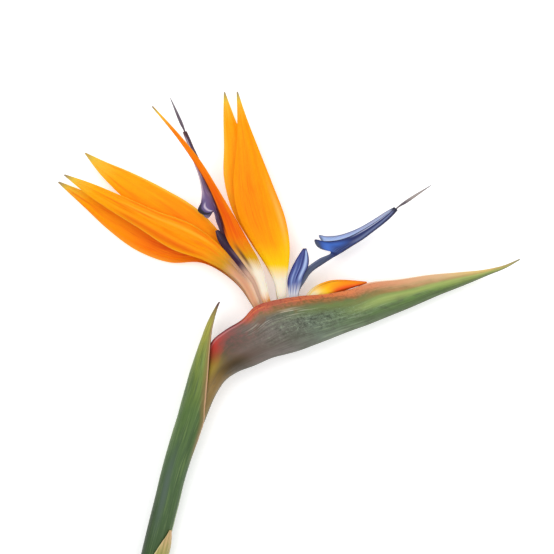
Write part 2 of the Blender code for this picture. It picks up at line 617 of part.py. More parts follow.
MATERIALS = {
    "orange": new_material("sepal_orange", (1.0, 0.30, 0.0), 0.45),
    "blue": new_material("petal_blue", (0.05, 0.09, 0.35), 0.45),
    "purple": new_material("petal_purple", (0.14, 0.08, 0.18), 0.5),
    "cream": new_material("flower_cream", (0.75, 0.55, 0.32), 0.5),
    "spathe": new_material("spathe_green", (0.17, 0.18, 0.11), 0.5),
    "green": new_material("stem_green", (0.10, 0.17, 0.06), 0.5),
    "straw": new_material("bract_straw", (0.45, 0.38, 0.14), 0.55),
}

add_surface_cutter()
add_stem()
add_spathe()
add_centres()
add_sepals()
add_petals()
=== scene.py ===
"""The looks of the bird of paradise flower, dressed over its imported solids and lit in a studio.

The tables are in millimetres in the row frame: +X along the spathe to its tip, +Y the way the
upright sepals point, +Z up from the floor. Each piece keeps the form of the solid it replaces.
"""
import math

import bpy
import numpy as np
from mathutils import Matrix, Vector


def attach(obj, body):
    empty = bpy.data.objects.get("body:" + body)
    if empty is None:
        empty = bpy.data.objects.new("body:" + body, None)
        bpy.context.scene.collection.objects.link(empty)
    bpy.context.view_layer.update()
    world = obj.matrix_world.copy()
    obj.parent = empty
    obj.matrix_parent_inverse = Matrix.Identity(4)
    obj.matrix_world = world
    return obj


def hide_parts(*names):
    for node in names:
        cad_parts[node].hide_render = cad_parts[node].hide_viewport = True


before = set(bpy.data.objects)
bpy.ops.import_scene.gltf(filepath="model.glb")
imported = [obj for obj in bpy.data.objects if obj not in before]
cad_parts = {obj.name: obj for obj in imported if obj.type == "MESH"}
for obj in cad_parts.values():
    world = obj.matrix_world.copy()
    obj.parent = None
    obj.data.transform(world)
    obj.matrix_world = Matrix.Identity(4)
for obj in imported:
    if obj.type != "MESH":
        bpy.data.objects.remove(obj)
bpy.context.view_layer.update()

MM = 0.001
UP = np.array((0.0, 0.0, 1.0))
WHITE = (1.0, 1.0, 1.0, 1.0)
SHARP_ANGLE = math.radians(75)      # edges that turn more than this stay crisp
RELIEF_STRENGTH = 0.6

BLADE_ROWS = 110
BLADE_COLUMNS = 36
EDGE_CROWDING = 0.45        # how far a blade's columns are drawn towards its edges, 0 to 1
RUFFLE = 0.35               # how far its edges wander up and down

# Sepals and hood petals, from base to tip: one edge (x, y), the other edge (x, y), the height of
# the edges, and how far the middle rises above them.
SEPAL_LEFT_BACK = (
    (-55.6, -1.6, -51.7, 0.1, 9.5, -0.5), (-60.0, 5.2, -53.9, 8.0, 9.6, -0.6),
    (-65.7, 13.5, -57.2, 17.9, 9.7, -0.6), (-73.2, 20.9, -62.2, 27.0, 9.8, -0.4),
    (-86.4, 30.3, -74.2, 40.7, 9.9, 0.3), (-103.4, 40.7, -88.8, 56.1, 9.9, 1.0),
    (-120.5, 54.5, -108.9, 68.5, 9.6, 1.2), (-135.9, 68.2, -128.7, 78.1, 9.1, 0.8),
    (-144.1, 77.0, -140.2, 82.8, 8.6, 0.5), (-152.0, 87.6, -151.2, 87.9, 8.1, 0.1),
)
SEPAL_LEFT_FRONT = (
    (-56.4, -1.9, -52.8, -0.4, 15.6, 0.7), (-60.2, 5.0, -55.8, 7.2, 15.8, 0.9),
    (-65.5, 13.8, -60.0, 16.8, 16.3, 1.2), (-72.6, 20.9, -67.0, 25.4, 16.9, 1.5),
    (-85.2, 28.1, -77.3, 37.0, 17.2, 1.8), (-102.9, 34.4, -91.9, 47.9, 16.8, 2.0),
    (-122.1, 46.5, -112.2, 55.6, 15.8, 1.8), (-139.7, 57.5, -132.6, 64.6, 14.8, 1.3),
    (-150.7, 65.2, -147.4, 70.7, 14.2, 0.8), (-162.8, 75.1, -162.2, 75.7, 13.6, 0.1),
)
SEPAL_LEFT_LOW = (
    (-56.1, -1.8, -52.3, -0.2, 8.1, -0.5), (-60.1, 4.4, -54.5, 6.9, 7.9, -0.6),
    (-65.7, 12.7, -58.9, 16.0, 7.6, -0.9), (-74.2, 20.4, -66.6, 25.3, 7.0, -1.4),
    (-88.0, 27.2, -79.2, 37.4, 5.6, -2.0), (-104.5, 27.2, -93.5, 43.7, 4.1, -2.5),
    (-122.1, 33.3, -110.0, 50.9, 3.4, -2.8), (-139.7, 45.9, -130.9, 58.9, 3.3, -2.4),
    (-152.9, 58.3, -148.0, 65.2, 3.5, -1.6), (-167.0, 71.5, -166.4, 72.2, 4.4, -0.1),
)
SEPAL_NARROW = (
    (-51.7, 0.1, -48.1, 1.6, 15.6, 0.8), (-54.2, 7.4, -49.8, 8.8, 15.9, 1.0),
    (-57.8, 17.1, -52.0, 18.2, 16.7, 1.2), (-64.4, 27.0, -55.0, 27.5, 17.9, 1.3),
    (-72.1, 38.0, -60.5, 37.4, 18.9, 1.6), (-77.0, 52.8, -68.8, 52.3, 19.6, 1.7),
    (-83.1, 67.7, -77.6, 67.1, 19.9, 1.6), (-91.3, 82.2, -87.2, 82.5, 19.9, 1.2),
    (-100.7, 95.7, -98.2, 96.3, 19.3, 0.7), (-114.3, 112.4, -113.6, 113.0, 18.2, 0.1),
)
SEPAL_UPRIGHT_BACK = (
    (-44.8, 2.5, -41.0, 3.0, 10.9, -0.8), (-46.1, 8.8, -41.8, 8.8, 10.8, -0.9),
    (-46.9, 14.9, -42.4, 14.9, 10.6, -0.8), (-50.6, 23.1, -42.4, 22.0, 10.3, -0.5),
    (-59.4, 36.9, -45.7, 34.1, 10.1, 0.3), (-69.9, 55.0, -52.3, 52.8, 10.2, 0.9),
    (-74.9, 73.7, -57.2, 72.6, 10.3, 1.1), (-74.9, 91.9, -62.7, 91.3, 10.2, 1.0),
    (-75.2, 108.4, -69.3, 107.8, 9.9, 0.6), (-75.0, 121.2, -74.3, 121.4, 9.4, 0.1),
)
SEPAL_UPRIGHT_FRONT = (
    (-43.7, 2.65, -39.9, 3.2, 14.2, 0.7), (-45.5, 8.8, -40.5, 8.8, 14.3, 0.9),
    (-46.8, 15.1, -40.7, 14.9, 14.4, 1.0), (-49.8, 23.1, -39.6, 22.6, 14.5, 1.1),
    (-57.8, 35.8, -38.6, 34.7, 14.5, 1.2), (-66.6, 52.3, -41.0, 51.2, 14.5, 1.3),
    (-69.6, 71.0, -48.1, 70.4, 14.5, 1.3), (-68.2, 89.1, -55.3, 88.6, 14.3, 1.2),
    (-67.5, 106.7, -62.3, 106.7, 13.9, 0.8), (-67.9, 121.0, -67.1, 121.2, 13.4, 0.1),
)
HOOD_PETAL_LEFT = (
    (-53.4, -0.7, -50.6, 0.6, 14.4, 0.1), (-56.1, 6.9, -53.1, 8.2, 14.5, 0.1),
    (-60.2, 16.0, -57.2, 17.6, 14.6, 0.2), (-67.1, 25.0, -63.0, 28.1, 14.8, 0.3),
    (-74.8, 34.1, -68.8, 35.5, 15.2, 0.6), (-78.4, 40.2, -74.0, 41.5, 15.5, 0.5),
    (-79.5, 44.6, -77.8, 45.2, 15.6, 0.1),
)
HOOD_PETAL_RIGHT = (
    (-38.3, 3.4, -34.7, 3.95, 15.1, 0.4), (-39.5, 11.3, -33.6, 11.8, 15.3, 0.6),
    (-39.9, 17.6, -31.1, 19.5, 15.5, 1.0), (-37.7, 24.2, -28.4, 25.6, 15.7, 1.3),
    (-34.1, 30.8, -28.4, 31.1, 15.9, 0.9), (-31.4, 34.9, -29.5, 35.0, 16.0, 0.2),
)

# The fused petals of each arrow: upper edge, keel and lower edge, each (x, y, z), along the shaft
# from the base, round the barbs, and along the head to the arrow's tip.
ARROW_LEFT = (
    ((-53.0, -0.5, 13.4), (-50.4, 0.6, 11.7), (-53.0, -0.5, 10.0)),
    ((-54.7, 6.3, 13.4), (-51.8, 7.7, 11.7), (-54.7, 6.3, 10.0)),
    ((-58.6, 16.0, 13.5), (-55.8, 17.7, 11.8), (-58.6, 16.0, 10.1)),
    ((-66.3, 26.1, 13.8), (-63.8, 28.2, 12.1), (-66.3, 26.1, 10.4)),
    ((-74.5, 38.5, 14.3), (-71.7, 39.8, 12.6), (-74.5, 38.5, 10.9)),
    ((-78.9, 49.2, 14.6), (-75.9, 50.6, 12.9), (-78.9, 49.2, 11.2)),
    ((-81.4, 55.2, 14.9), (-78.3, 57.5, 13.0), (-81.2, 54.9, 11.3)),
    ((-83.2, 53.6, 15.5), (-78.7, 58.9, 13.1), (-82.4, 52.6, 11.0)),
    ((-86.2, 53.4, 16.0), (-79.1, 59.9, 13.2), (-84.2, 51.6, 10.9)),
    ((-88.9, 55.3, 16.2), (-79.6, 61.1, 13.2), (-86.2, 53.4, 11.0)),
    ((-87.4, 60.2, 16.4), (-80.9, 64.4, 13.3), (-86.0, 58.2, 10.9)),
    ((-86.9, 65.0, 16.3), (-82.9, 67.4, 13.4), (-86.3, 64.0, 11.0)),
    ((-87.9, 72.1, 16.2), (-85.0, 73.2, 13.6), (-87.5, 71.5, 11.3)),
    ((-90.9, 80.9, 15.8), (-87.5, 82.0, 13.7), (-90.5, 80.3, 11.8)),
    ((-94.4, 90.5, 15.6), (-91.7, 91.3, 13.8), (-94.2, 90.2, 12.1)),
    ((-96.3, 95.7, 15.5), (-93.8, 96.3, 13.9), (-96.2, 95.4, 12.3)),
    ((-97.4, 98.7, 15.4), (-95.2, 99.3, 14.0), (-97.4, 98.7, 12.6)),
)
ARROW_RIGHT = (
    ((-37.2, 3.6, 14.1), (-34.5, 4.0, 12.4), (-37.2, 3.6, 10.7)),
    ((-36.6, 10.7, 14.1), (-33.2, 11.6, 12.4), (-36.6, 10.7, 10.7)),
    ((-33.8, 17.9, 14.1), (-30.5, 16.2, 12.4), (-33.8, 17.9, 10.7)),
    ((-28.9, 24.6, 14.1), (-26.6, 21.8, 12.4), (-28.9, 24.6, 10.7)),
    ((-22.6, 29.3, 14.1), (-20.6, 26.1, 12.4), (-22.6, 29.3, 10.7)),
    ((-16.2, 33.0, 14.2), (-13.8, 30.4, 12.4), (-16.2, 33.0, 10.6)),
    ((-17.4, 34.0, 15.0), (-12.5, 31.1, 12.4), (-16.9, 34.8, 10.0)),
    ((-20.9, 34.3, 15.9), (-11.3, 31.8, 12.4), (-19.6, 37.2, 9.3)),
    ((-24.0, 36.3, 16.4), (-10.4, 32.3, 12.4), (-21.6, 39.8, 8.8)),
    ((-25.2, 39.5, 16.6), (-9.4, 32.9, 12.4), (-22.7, 42.2, 8.4)),
    ((-19.6, 38.9, 16.8), (-6.6, 34.7, 12.4), (-18.6, 41.8, 8.2)),
    ((-13.4, 39.3, 16.7), (-3.4, 36.7, 12.4), (-13.0, 42.1, 8.3)),
    ((-7.2, 41.0, 16.4), (1.7, 39.9, 12.4), (-7.2, 43.6, 8.6)),
    ((0.6, 44.8, 15.6), (7.2, 44.0, 12.5), (0.0, 46.6, 9.4)),
    ((8.8, 49.8, 14.9), (13.2, 48.6, 12.6), (8.2, 51.4, 10.3)),
    ((15.3, 54.4, 14.5), (17.9, 52.8, 12.8), (14.9, 55.7, 11.1)),
    ((19.0, 57.4, 14.3), (20.7, 55.9, 12.9), (18.9, 57.8, 11.5)),
)
ARROW_ROWS = 190
ARROW_WALL = 0.5
ARROW_EDGE = 0.45           # how thin its edges are, as a share of its wall
STYLE_RADIUS = 0.4
STYLE_DEPTH = 1.45          # the style's middle, from the outside of the arrow's keel
CHANNEL_DEPTH = 1.6         # how deep the round of an arrow's keel is, and half its width
CHANNEL_HALF_WIDTH = 1.7

# The stigmas beyond the arrows' tips: the middle line (x, y, z) and the radius.
STIGMA_LEFT = (
    (-96.6, 100.0, 14.1, 0.5), (-98.0, 103.2, 14.1, 0.85), (-100.0, 107.8, 14.1, 0.8),
    (-102.1, 112.7, 14.2, 0.5), (-104.3, 117.7, 14.2, 0.15),
)
STIGMA_RIGHT = (
    (21.6, 58.2, 13.0, 0.5), (25.0, 60.4, 13.0, 0.85), (29.0, 63.1, 13.0, 0.8),
    (34.0, 66.4, 13.0, 0.5), (39.1, 69.7, 13.1, 0.15),
)

# Ovaries with their stalks, and the closed bud: the middle line (x, y, z), and the half widths
# across the flower and up and down.
OVARY_LEFT = (
    (-79.1, -26.5, 12.6, 1.8, 1.8), (-74.9, -19.4, 12.6, 1.8, 1.8),
    (-66.5, -15.0, 12.4, 2.0, 2.0), (-57.5, -11.5, 12.2, 2.3, 2.5),
    (-52.0, -7.0, 12.0, 3.3, 3.6), (-51.1, -3.6, 11.9, 4.3, 4.5),
    (-52.13, -0.44, 11.9, 4.9, 4.9),
)
OVARY_RIGHT = (
    (-75.2, -28.4, 12.6, 1.8, 1.8), (-73.3, -24.9, 12.6, 1.8, 1.8),
    (-66.5, -20.5, 12.6, 2.0, 2.0), (-55.0, -16.5, 12.5, 2.2, 2.2),
    (-46.0, -11.0, 12.5, 2.8, 2.8), (-41.5, -4.0, 12.4, 4.2, 3.4),
    (-39.66, 2.92, 12.4, 5.5, 3.7),
)
BUD = (
    (-71.1, -30.1, 12.6, 1.7, 1.7), (-69.9, -27.8, 12.6, 1.7, 1.7),
    (-62.5, -25.0, 12.6, 1.8, 1.8), (-50.6, -20.2, 12.4, 2.0, 2.0),
    (-38.0, -13.6, 12.0, 2.4, 2.4), (-29.5, -2.2, 11.5, 3.0, 2.8),
    (-24.8, 8.5, 10.9, 4.3, 2.7), (-16.0, 13.0, 10.1, 4.3, 2.2),
    (-7.7, 14.9, 9.5, 2.8, 1.5), (-1.1, 15.7, 9.1, 1.5, 0.9),
    (3.9, 16.2, 8.8, 0.5, 0.4),
)
# The way the width of each ovary's top lies.
OVARY_LEFT_TOP = (0.919, 0.395, 0.0)
OVARY_RIGHT_TOP = (0.990, 0.142, 0.0)

# Spathe, from its neck to its tip: top edge (x, y), keel (x, y), half thickness, height of its
# middle plane, half the slit between its edges, and the section: 0 round, 1 a folded leaf.
SPATHE = (
    (-102.25, -69.65, -91.35, -73.35, 5.6, 11.2, 0.0, 0.0),
    (-96.8, -56.1, -85.8, -61.1, 5.7, 11.6, 0.0, 0.0),
    (-89.7, -40.7, -78.7, -44.6, 6.0, 12.2, 0.0, 0.0),
    (-86.4, -31.9, -73.7, -37.4, 7.0, 12.4, 0.1, 0.25),
    (-84.2, -24.2, -67.1, -33.0, 9.0, 12.6, 0.2, 0.75),
    (-81.4, -16.0, -57.8, -29.4, 10.8, 12.8, 0.3, 1.0),
    (-74.2, -9.9, -48.4, -25.3, 11.6, 12.8, 0.9, 1.0),
    (-64.9, -4.1, -41.2, -23.4, 11.8, 12.7, 4.5, 1.0),
    (-57.8, 3.0, -34.1, -21.5, 11.8, 12.4, 6.2, 1.0),
    (-46.8, 6.6, -26.4, -18.7, 11.6, 12.1, 5.8, 1.0),
    (-33.0, 8.8, -17.6, -15.4, 11.0, 11.3, 4.9, 1.0),
    (-19.2, 9.9, -7.2, -11.3, 10.1, 9.9, 3.5, 1.0),
    (-5.5, 12.4, 4.4, -7.2, 9.2, 8.8, 2.3, 1.0),
    (5.5, 16.3, 15.4, -2.8, 8.4, 8.15, 1.4, 1.0),
    (22.0, 18.2, 29.2, 2.8, 6.6, 7.6, 0.8, 1.0),
    (38.5, 20.6, 44.0, 9.2, 5.0, 7.2, 0.6, 1.0),
    (55.0, 22.0, 58.9, 15.1, 3.4, 7.4, 0.5, 1.0),
    (68.8, 23.4, 71.0, 20.2, 1.9, 7.9, 0.2, 0.9),
    (79.8, 25.9, 80.9, 24.3, 1.0, 8.5, 0.0, 0.5),
    (88.0, 29.3, 88.4, 28.7, 0.5, 9.2, 0.0, 0.2),
)
SPATHE_BELLY = 1.45         # above 1, the folded section is widest nearer its keel
SPATHE_LIP = 0.9            # half thickness of its rolled edge
SPATHE_LENGTH = 223.5
SPATHE_ROWS = 230
SPATHE_SIDE = 44
POCKET_START = 49.0         # how far along the spathe its pocket starts, and where it ends
POCKET_END = 190.0
SLIT_START = 69.0           # where the slit between its edges begins

# Scape: the middle line (x, y, z) and the radius, from the spathe's neck to the cut end.
SCAPE = (
    (-96.95, -71.95, 11.1, 5.4), (-100.2, -81.4, 10.75, 5.5), (-103.4, -92.4, 10.3, 5.6),
    (-105.9, -103.4, 9.9, 5.6), (-108.7, -114.4, 9.5, 5.6), (-112.7, -130.9, 9.1, 5.6),
    (-117.7, -154.0, 8.65, 6.0), (-122.4, -177.1, 8.3, 6.2), (-124.9, -188.7, 8.1, 6.2),
)

SCAPE_CUT = (0.97, 0.93, 0.86, 0.74, 0.6, 0.45, 0.3, 0.15, 0.05)    # rings across the cut end

# Sheathing bracts: the middle line (x, y, z), the outer radius, and the angles about that line
# at which the two margins lie. 0 degrees is the stem's right side, 90 degrees is up.
SHEATH_UPPER = (
    (-117.4, -151.8, 8.72, 7.0, 4, 356), (-112.9, -130.9, 9.1, 6.9, 4, 356),
    (-108.9, -114.4, 9.5, 6.9, 4, 356), (-106.1, -103.4, 9.9, 6.9, 4, 356),
    (-103.5, -92.4, 10.3, 6.9, 4, 356), (-100.4, -81.4, 10.7, 7.1, 4, 356),
    (-97.2, -71.5, 11.1, 7.4, 6, 354), (-94.0, -62.2, 11.4, 7.7, 16, 344),
    (-90.4, -51.2, 11.8, 8.2, 46, 312), (-87.4, -41.8, 12.1, 8.5, 66, 292),
    (-85.3, -31.9, 12.3, 7.8, 74, 286), (-83.8, -22.0, 12.5, 6.0, 78, 282),
    (-82.1, -12.7, 12.7, 4.4, 86, 274), (-79.2, -4.4, 13.1, 3.8, 106, 254),
    (-76.7, 1.4, 13.4, 3.2, 126, 234), (-75.2, 4.6, 13.6, 2.6, 160, 200),
)
SHEATH_LOWER = (
    (-121.5, -171.6, 8.35, 8.2, -138, 214), (-119.3, -161.7, 8.5, 8.5, -138, 214),
    (-117.5, -152.9, 8.7, 8.5, -120, 178), (-115.4, -142.5, 8.9, 8.3, -72, 132),
    (-113.3, -132.3, 9.1, 8.2, -20, 88), (-111.6, -124.9, 9.25, 8.3, 14, 67),
    (-110.1, -118.3, 9.4, 8.3, 34, 42),
)
SHEATH_COLUMNS = 72
SHEATH_RIB = 0.04
SHEATH_RADIUS = 8.0         # turns an angle about a sheath into a length across it

# The studio, in metres.
FLOOR_REACH = 3.0
FLOOR_HEIGHT = -0.0002
FLOOR_GLOW = 0.3            # a lit white table, so that narrow gaps don't go dark
SURROUND_STRENGTH = 0.56
CENTRE = (-0.04565, 0.01925, 0.012)     # the middle of the view, at mid height of the flower
VIEW_SIDE = 0.3047                      # how much the view takes in, at that height
LENS = 135.0
SENSOR = 36.0


# ---------------------------------------------------------------- shapes

def smooth_rows(rows, count):
    """Values read from a smooth curve through the rows, evenly spaced along its length."""
    rows = np.asarray(rows, dtype=float)
    values = rows.reshape(len(rows), -1)
    place = length_along(values)
    slope = np.gradient(values, place, axis=0)
    wanted = np.linspace(0.0, place[-1], count)
    cell = np.clip(np.searchsorted(place, wanted, side="right") - 1, 0, len(place) - 2)
    length = (place[cell + 1] - place[cell])[:, None]
    t = (wanted[:, None] - place[cell][:, None]) / length
    start_weight = 2 * t**3 - 3 * t**2 + 1
    start_slope = (t**3 - 2 * t**2 + t) * length
    end_slope = (t**3 - t**2) * length
    smooth = (
        start_weight * values[cell]
        + (1 - start_weight) * values[cell + 1]
        + start_slope * slope[cell]
        + end_slope * slope[cell + 1]
    )
    return smooth.reshape((count,) + rows.shape[1:])


def length_along(line):
    """How far along a line of points each one lies."""
    steps = np.linalg.norm(np.diff(line, axis=0), axis=1)
    return np.concatenate(([0.0], np.cumsum(steps)))


def smoothstep(x, low, high):
    """0 below low, 1 above high, and smooth between."""
    t = np.clip((np.asarray(x, dtype=float) - low) / (high - low), 0.0, 1.0)
    return t * t * (3 - 2 * t)


def wander(x, seed, waves=4):
    """A smooth uneven wave between about -1 and 1, for x from 0 to 1."""
    rng = np.random.default_rng(seed)
    total = 0.0
    for i in range(waves):
        pace = 0.7 * (i + 1) * (0.8 + 0.4 * rng.random())
        total = total + np.sin(2 * math.pi * (pace * x + rng.random())) / (i + 1)
    return total / 1.6


def dress(name, points, faces, paint, material):
    """A smooth piece from points in millimetres, with its painted coordinates, over its node."""
    mesh = bpy.data.meshes.new(name)
    mesh.from_pydata((np.asarray(points) * MM).tolist(), [], faces)
    for label, values in paint.items():
        layer = mesh.attributes.new(label, "FLOAT", "POINT")
        layer.data.foreach_set("value", np.asarray(values, dtype=np.float32).ravel())
    mesh.materials.append(material)
    mesh.shade_smooth()
    mesh.set_sharp_from_angle(angle=SHARP_ANGLE)
    mesh.update()
    piece = bpy.data.objects.new(name, mesh)
    bpy.context.scene.collection.objects.link(piece)
    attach(piece, "root")
    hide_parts(name)


def shell(outer, inner):
    """Points and faces of a blade: a grid on one face, the same grid on the other, and a rim."""
    rows, columns = outer.shape[:2]
    below = rows * columns
    faces = []
    for r in range(rows - 1):
        for c in range(columns - 1):
            a = r * columns + c
            b = a + columns
            faces.append((a, a + 1, b + 1, b))
            faces.append((below + a, below + b, below + b + 1, below + a + 1))
    rim = [r * columns for r in range(rows)]
    rim += [(rows - 1) * columns + c for c in range(1, columns)]
    rim += [r * columns + columns - 1 for r in range(rows - 2, -1, -1)]
    rim += list(range(columns - 2, 0, -1))
    faces += [(a, b, below + b, below + a) for a, b in zip(rim, rim[1:] + rim[:1])]
    return np.concatenate((outer, inner)).reshape(-1, 3), faces


def both_faces(**grids):
    """A shell's painted coordinates, the same on its two faces, and which face it is."""
    paint = {label: np.tile(grid.ravel(), 2) for label, grid in grids.items()}
    paint["under"] = np.repeat((0.0, 1.0), grids["along"].size)
    return paint


def rings_mesh(rings):
    """Points and faces of a closed body through rings, with flat ends."""
    count, around = rings.shape[:2]
    faces = [
        (r * around + i, (r + 1) * around + i,
         (r + 1) * around + (i + 1) % around, r * around + (i + 1) % around)
        for r in range(count - 1)
        for i in range(around)
    ]
    faces.append(tuple(range(around)))
    faces.append(tuple((count - 1) * around + i for i in reversed(range(around))))
    return rings.reshape(-1, 3), faces


def level_frames(line):
    """Along a line, the unit vectors across it: one level with the floor, one upwards."""
    ahead = np.gradient(line, axis=0)
    ahead /= np.linalg.norm(ahead, axis=1)[:, None]
    across = np.cross(ahead, UP)
    across /= np.linalg.norm(across, axis=1)[:, None]
    return across, np.cross(across, ahead)


def pleats(depth, count, phase=0.0):
    """Soft folds along a blade, deepest in its middle length."""
    def relief(t, s):
        fold = np.sin(math.pi * count * s + phase) * depth
        return fold * np.sin(math.pi * np.clip(t, 0, 1)) * (1 - np.abs(s) ** 6)
    return relief


def add_blade(name, table, material, relief, seed, keel=0.5, thick=0.85, thin=0.3):
    """A sepal or hood petal: the solid's form with its fibres, folds and thin uneven edges.

    keel is where the middle line lies between the edges, and thick and thin are how thick the
    blade is along it and at its edges.
    """
    table = smooth_rows(table, BLADE_ROWS)
    edge_a = np.column_stack((table[:, 0:2], table[:, 4]))
    edge_b = np.column_stack((table[:, 2:4], table[:, 4]))
    middle = edge_a + (edge_b - edge_a) * keel
    middle[:, 2] += table[:, 5]
    along = length_along(middle)
    half_a = np.linalg.norm(edge_a - middle, axis=1)[:, None]
    half_b = np.linalg.norm(edge_b - middle, axis=1)[:, None]
    level = (edge_b - edge_a) / (half_a + half_b)
    even = np.linspace(-1.0, 1.0, BLADE_COLUMNS + 1)
    columns = EDGE_CROWDING * np.sin(even * math.pi / 2) + (1 - EDGE_CROWDING) * even
    upper = np.empty((BLADE_ROWS, BLADE_COLUMNS + 1, 3))
    for i, v in enumerate(columns):
        edge, half, sign = (edge_a, half_a, -1.0) if v < 0 else (edge_b, half_b, 1.0)
        run = abs(v)
        tangent = sign * half * level
        upper[:, i] = middle + tangent * run + (edge - middle - tangent) * run * run
    tt, ss = np.meshgrid(along / along[-1], columns, indexing="ij")
    width = np.linalg.norm(edge_b - edge_a, axis=1)[:, None]
    ruffle = wander(tt * 1.6 + 0.13 * np.sign(ss), seed, 5) * np.abs(ss) ** 3 * RUFFLE
    upper[:, :, 2] += smoothstep(width, 2.0, 9.0) * (ruffle + relief(tt, ss))
    thickness = thin + (thick - thin) * (1 - np.abs(ss) ** 4)
    under = upper.copy()
    under[:, :, 2] -= thickness * (0.55 + 0.45 * smoothstep(1 - tt, 0.0, 0.12))
    under[:, :, 2] = np.maximum(under[:, :, 2], 0.0)
    points, faces = shell(upper, under)
    if np.cross(upper[1, 1] - upper[1, 0], upper[2, 0] - upper[1, 0])[2] <= 0:
        faces = [tuple(reversed(f)) for f in faces]
    paint = both_faces(along=tt, across=ss, along_mm=tt * along[-1], across_mm=ss * width / 2)
    dress(name, points, faces, paint, material)


def arrow_section(edge_a, keel, edge_b):
    """Points of both faces of an arrow, from one edge over its keel to the other."""
    inward = (edge_a + edge_b) / 2 - keel
    bow = 0.05 * max(np.linalg.norm(inward) - 3.0, 0.0)
    inward[2] = 0.0
    inward /= np.linalg.norm(inward)
    sides = []
    for edge, sign in ((edge_a, 1.0), (edge_b, -1.0)):
        side = []
        for angle in np.radians(np.linspace(11.25, 90, 8)):
            bend = inward * CHANNEL_DEPTH * (1 - math.cos(angle))
            side.append(keel + bend + UP * sign * CHANNEL_HALF_WIDTH * math.sin(angle))
        corner = side[-1]
        for run in np.linspace(0.0, 1.0, 13)[1:]:
            swell = UP * sign * bow * math.sin(math.pi * run)
            side.append(corner + (edge - corner) * run + swell)
        sides.append(side)
    outer = np.array(sides[0][::-1] + [keel] + sides[1])
    across = np.cross(np.gradient(outer, axis=0), np.cross(UP, inward))
    across /= np.linalg.norm(across, axis=1)[:, None]
    wall = np.full(len(outer), ARROW_WALL)
    wall[:5] *= np.linspace(ARROW_EDGE, 1.0, 5)
    wall[-5:] *= np.linspace(1.0, ARROW_EDGE, 5)
    return outer, outer + across * wall[:, None]


def add_arrow(name, table, material):
    """The two fused petals: a channelled shaft, rounded barbs and the head's folded wings."""
    sections = np.array([arrow_section(*row) for row in smooth_rows(table, ARROW_ROWS)])
    outer, inner = sections[:, 0], sections[:, 1]
    points, faces = shell(outer, inner)
    columns = outer.shape[1]
    keels = outer[:, columns // 2]
    along = length_along(keels)
    along_mm = np.repeat(along[:, None], columns, axis=1)
    across = np.repeat(np.linspace(-1.0, 1.0, columns)[None], ARROW_ROWS, axis=0)
    paint = both_faces(along=along_mm / along[-1], across=across, along_mm=along_mm,
                       across_mm=np.linalg.norm(outer - keels[:, None], axis=2))
    dress(name, points, faces, paint, material)


def close_in(rings, along, shares):
    """Rings added across the last one's end, a little hollow, with how far in each one lies."""
    last = rings[-1]
    middle = last.mean(axis=0)
    back = rings[-2].mean(axis=0) - middle
    back /= np.linalg.norm(back)
    added = [middle + (last - middle) * k + back * 0.5 * (1 - k * k) for k in shares]
    depth = np.concatenate((np.zeros(len(rings)), 1 - np.array(shares)))
    along = np.concatenate((along, np.full(len(shares), along[-1])))
    return np.concatenate((rings, added)), along, depth


def add_body(name, table, count, sides, material, top=None, folds=0.0, cut=()):
    """A rounded body about a middle line: (x, y, z, half width level, half width upright).

    Its rings turn to lie along top at their end, folds is how deep the six folds along its last
    half are, and cut holds the rings that close its end.
    """
    table = smooth_rows(table, count)
    across, up = level_frames(table[:, :3])
    turns = np.linspace(0, 2 * math.pi, sides, endpoint=False)
    rings = np.empty((count, sides, 3))
    for i, (row, level, upright) in enumerate(zip(table, across, up)):
        t = i / (count - 1)
        if top is not None:
            level = level * (1 - t**2) + np.array(top) * t**2
            level /= np.linalg.norm(level)
            upright = UP
        grow = 1 + folds * np.cos(6 * turns) * float(smoothstep(t, 0.5, 0.75))
        rings[i] = (
            row[:3]
            + np.outer(np.cos(turns) * grow, level * row[3])
            + np.outer(np.sin(turns) * grow, upright * row[4])
        )
    along = length_along(table[:, :3])
    depth = np.zeros(count)
    if cut:
        rings, along, depth = close_in(rings, along, cut)
    points, faces = rings_mesh(rings)
    along_mm, around = np.meshgrid(along, turns / (2 * math.pi), indexing="ij")
    paint = {
        "along": along_mm / along[-1],
        "along_mm": along_mm,
        "across": around,
        "cut": np.repeat(depth, sides),
        "cut_x": np.outer(1 - depth, np.cos(turns)),
        "cut_y": np.outer(1 - depth, np.sin(turns)),
    }
    dress(name, points, faces, paint, material)


def add_style(name, table, stigma, material):
    """The rod within the arrow's channel, thicker and sticky beyond the arrow's tip."""
    rows = []
    for edge_a, keel, edge_b in np.array(table[:-1]):
        inward = (edge_a + edge_b) / 2 - keel
        inward[2] = 0.0
        middle = keel + inward * STYLE_DEPTH / np.linalg.norm(inward)
        rows.append((*middle, STYLE_RADIUS, STYLE_RADIUS))
    rows += [(*row, row[3]) for row in stigma]
    add_body(name, rows, 170, 16, material)


def spathe_half_width(half, slit, share, fold):
    """Half thickness of the spathe, a share of the way from its top edge to its keel."""
    round_profile = 2 * np.sqrt(np.maximum(share * (1 - share), 0.0))
    folded_profile = np.maximum(np.sin(math.pi * share**SPATHE_BELLY), 0.0) ** 0.85
    profile = round_profile * (1 - fold) + folded_profile * fold
    return half * profile + (slit + SPATHE_LIP * fold + 0.25 * (1 - fold)) * (1 - share) ** 3


def spathe_relief(place, share, fold):
    """The fibres and slow waves of the spathe's sides, which end short of its edges."""
    ribs = 0.04 * np.sin(share * 130 + 2 * wander(place / 220, 3))
    waves = 0.16 * wander(place / 223 * 2.4 + share, 11) * np.sin(math.pi * share)
    clear_of_lip = 1 - np.exp(-(share / 0.05) ** 2)
    return fold * (ribs * clear_of_lip * (1 - share**6) + waves)


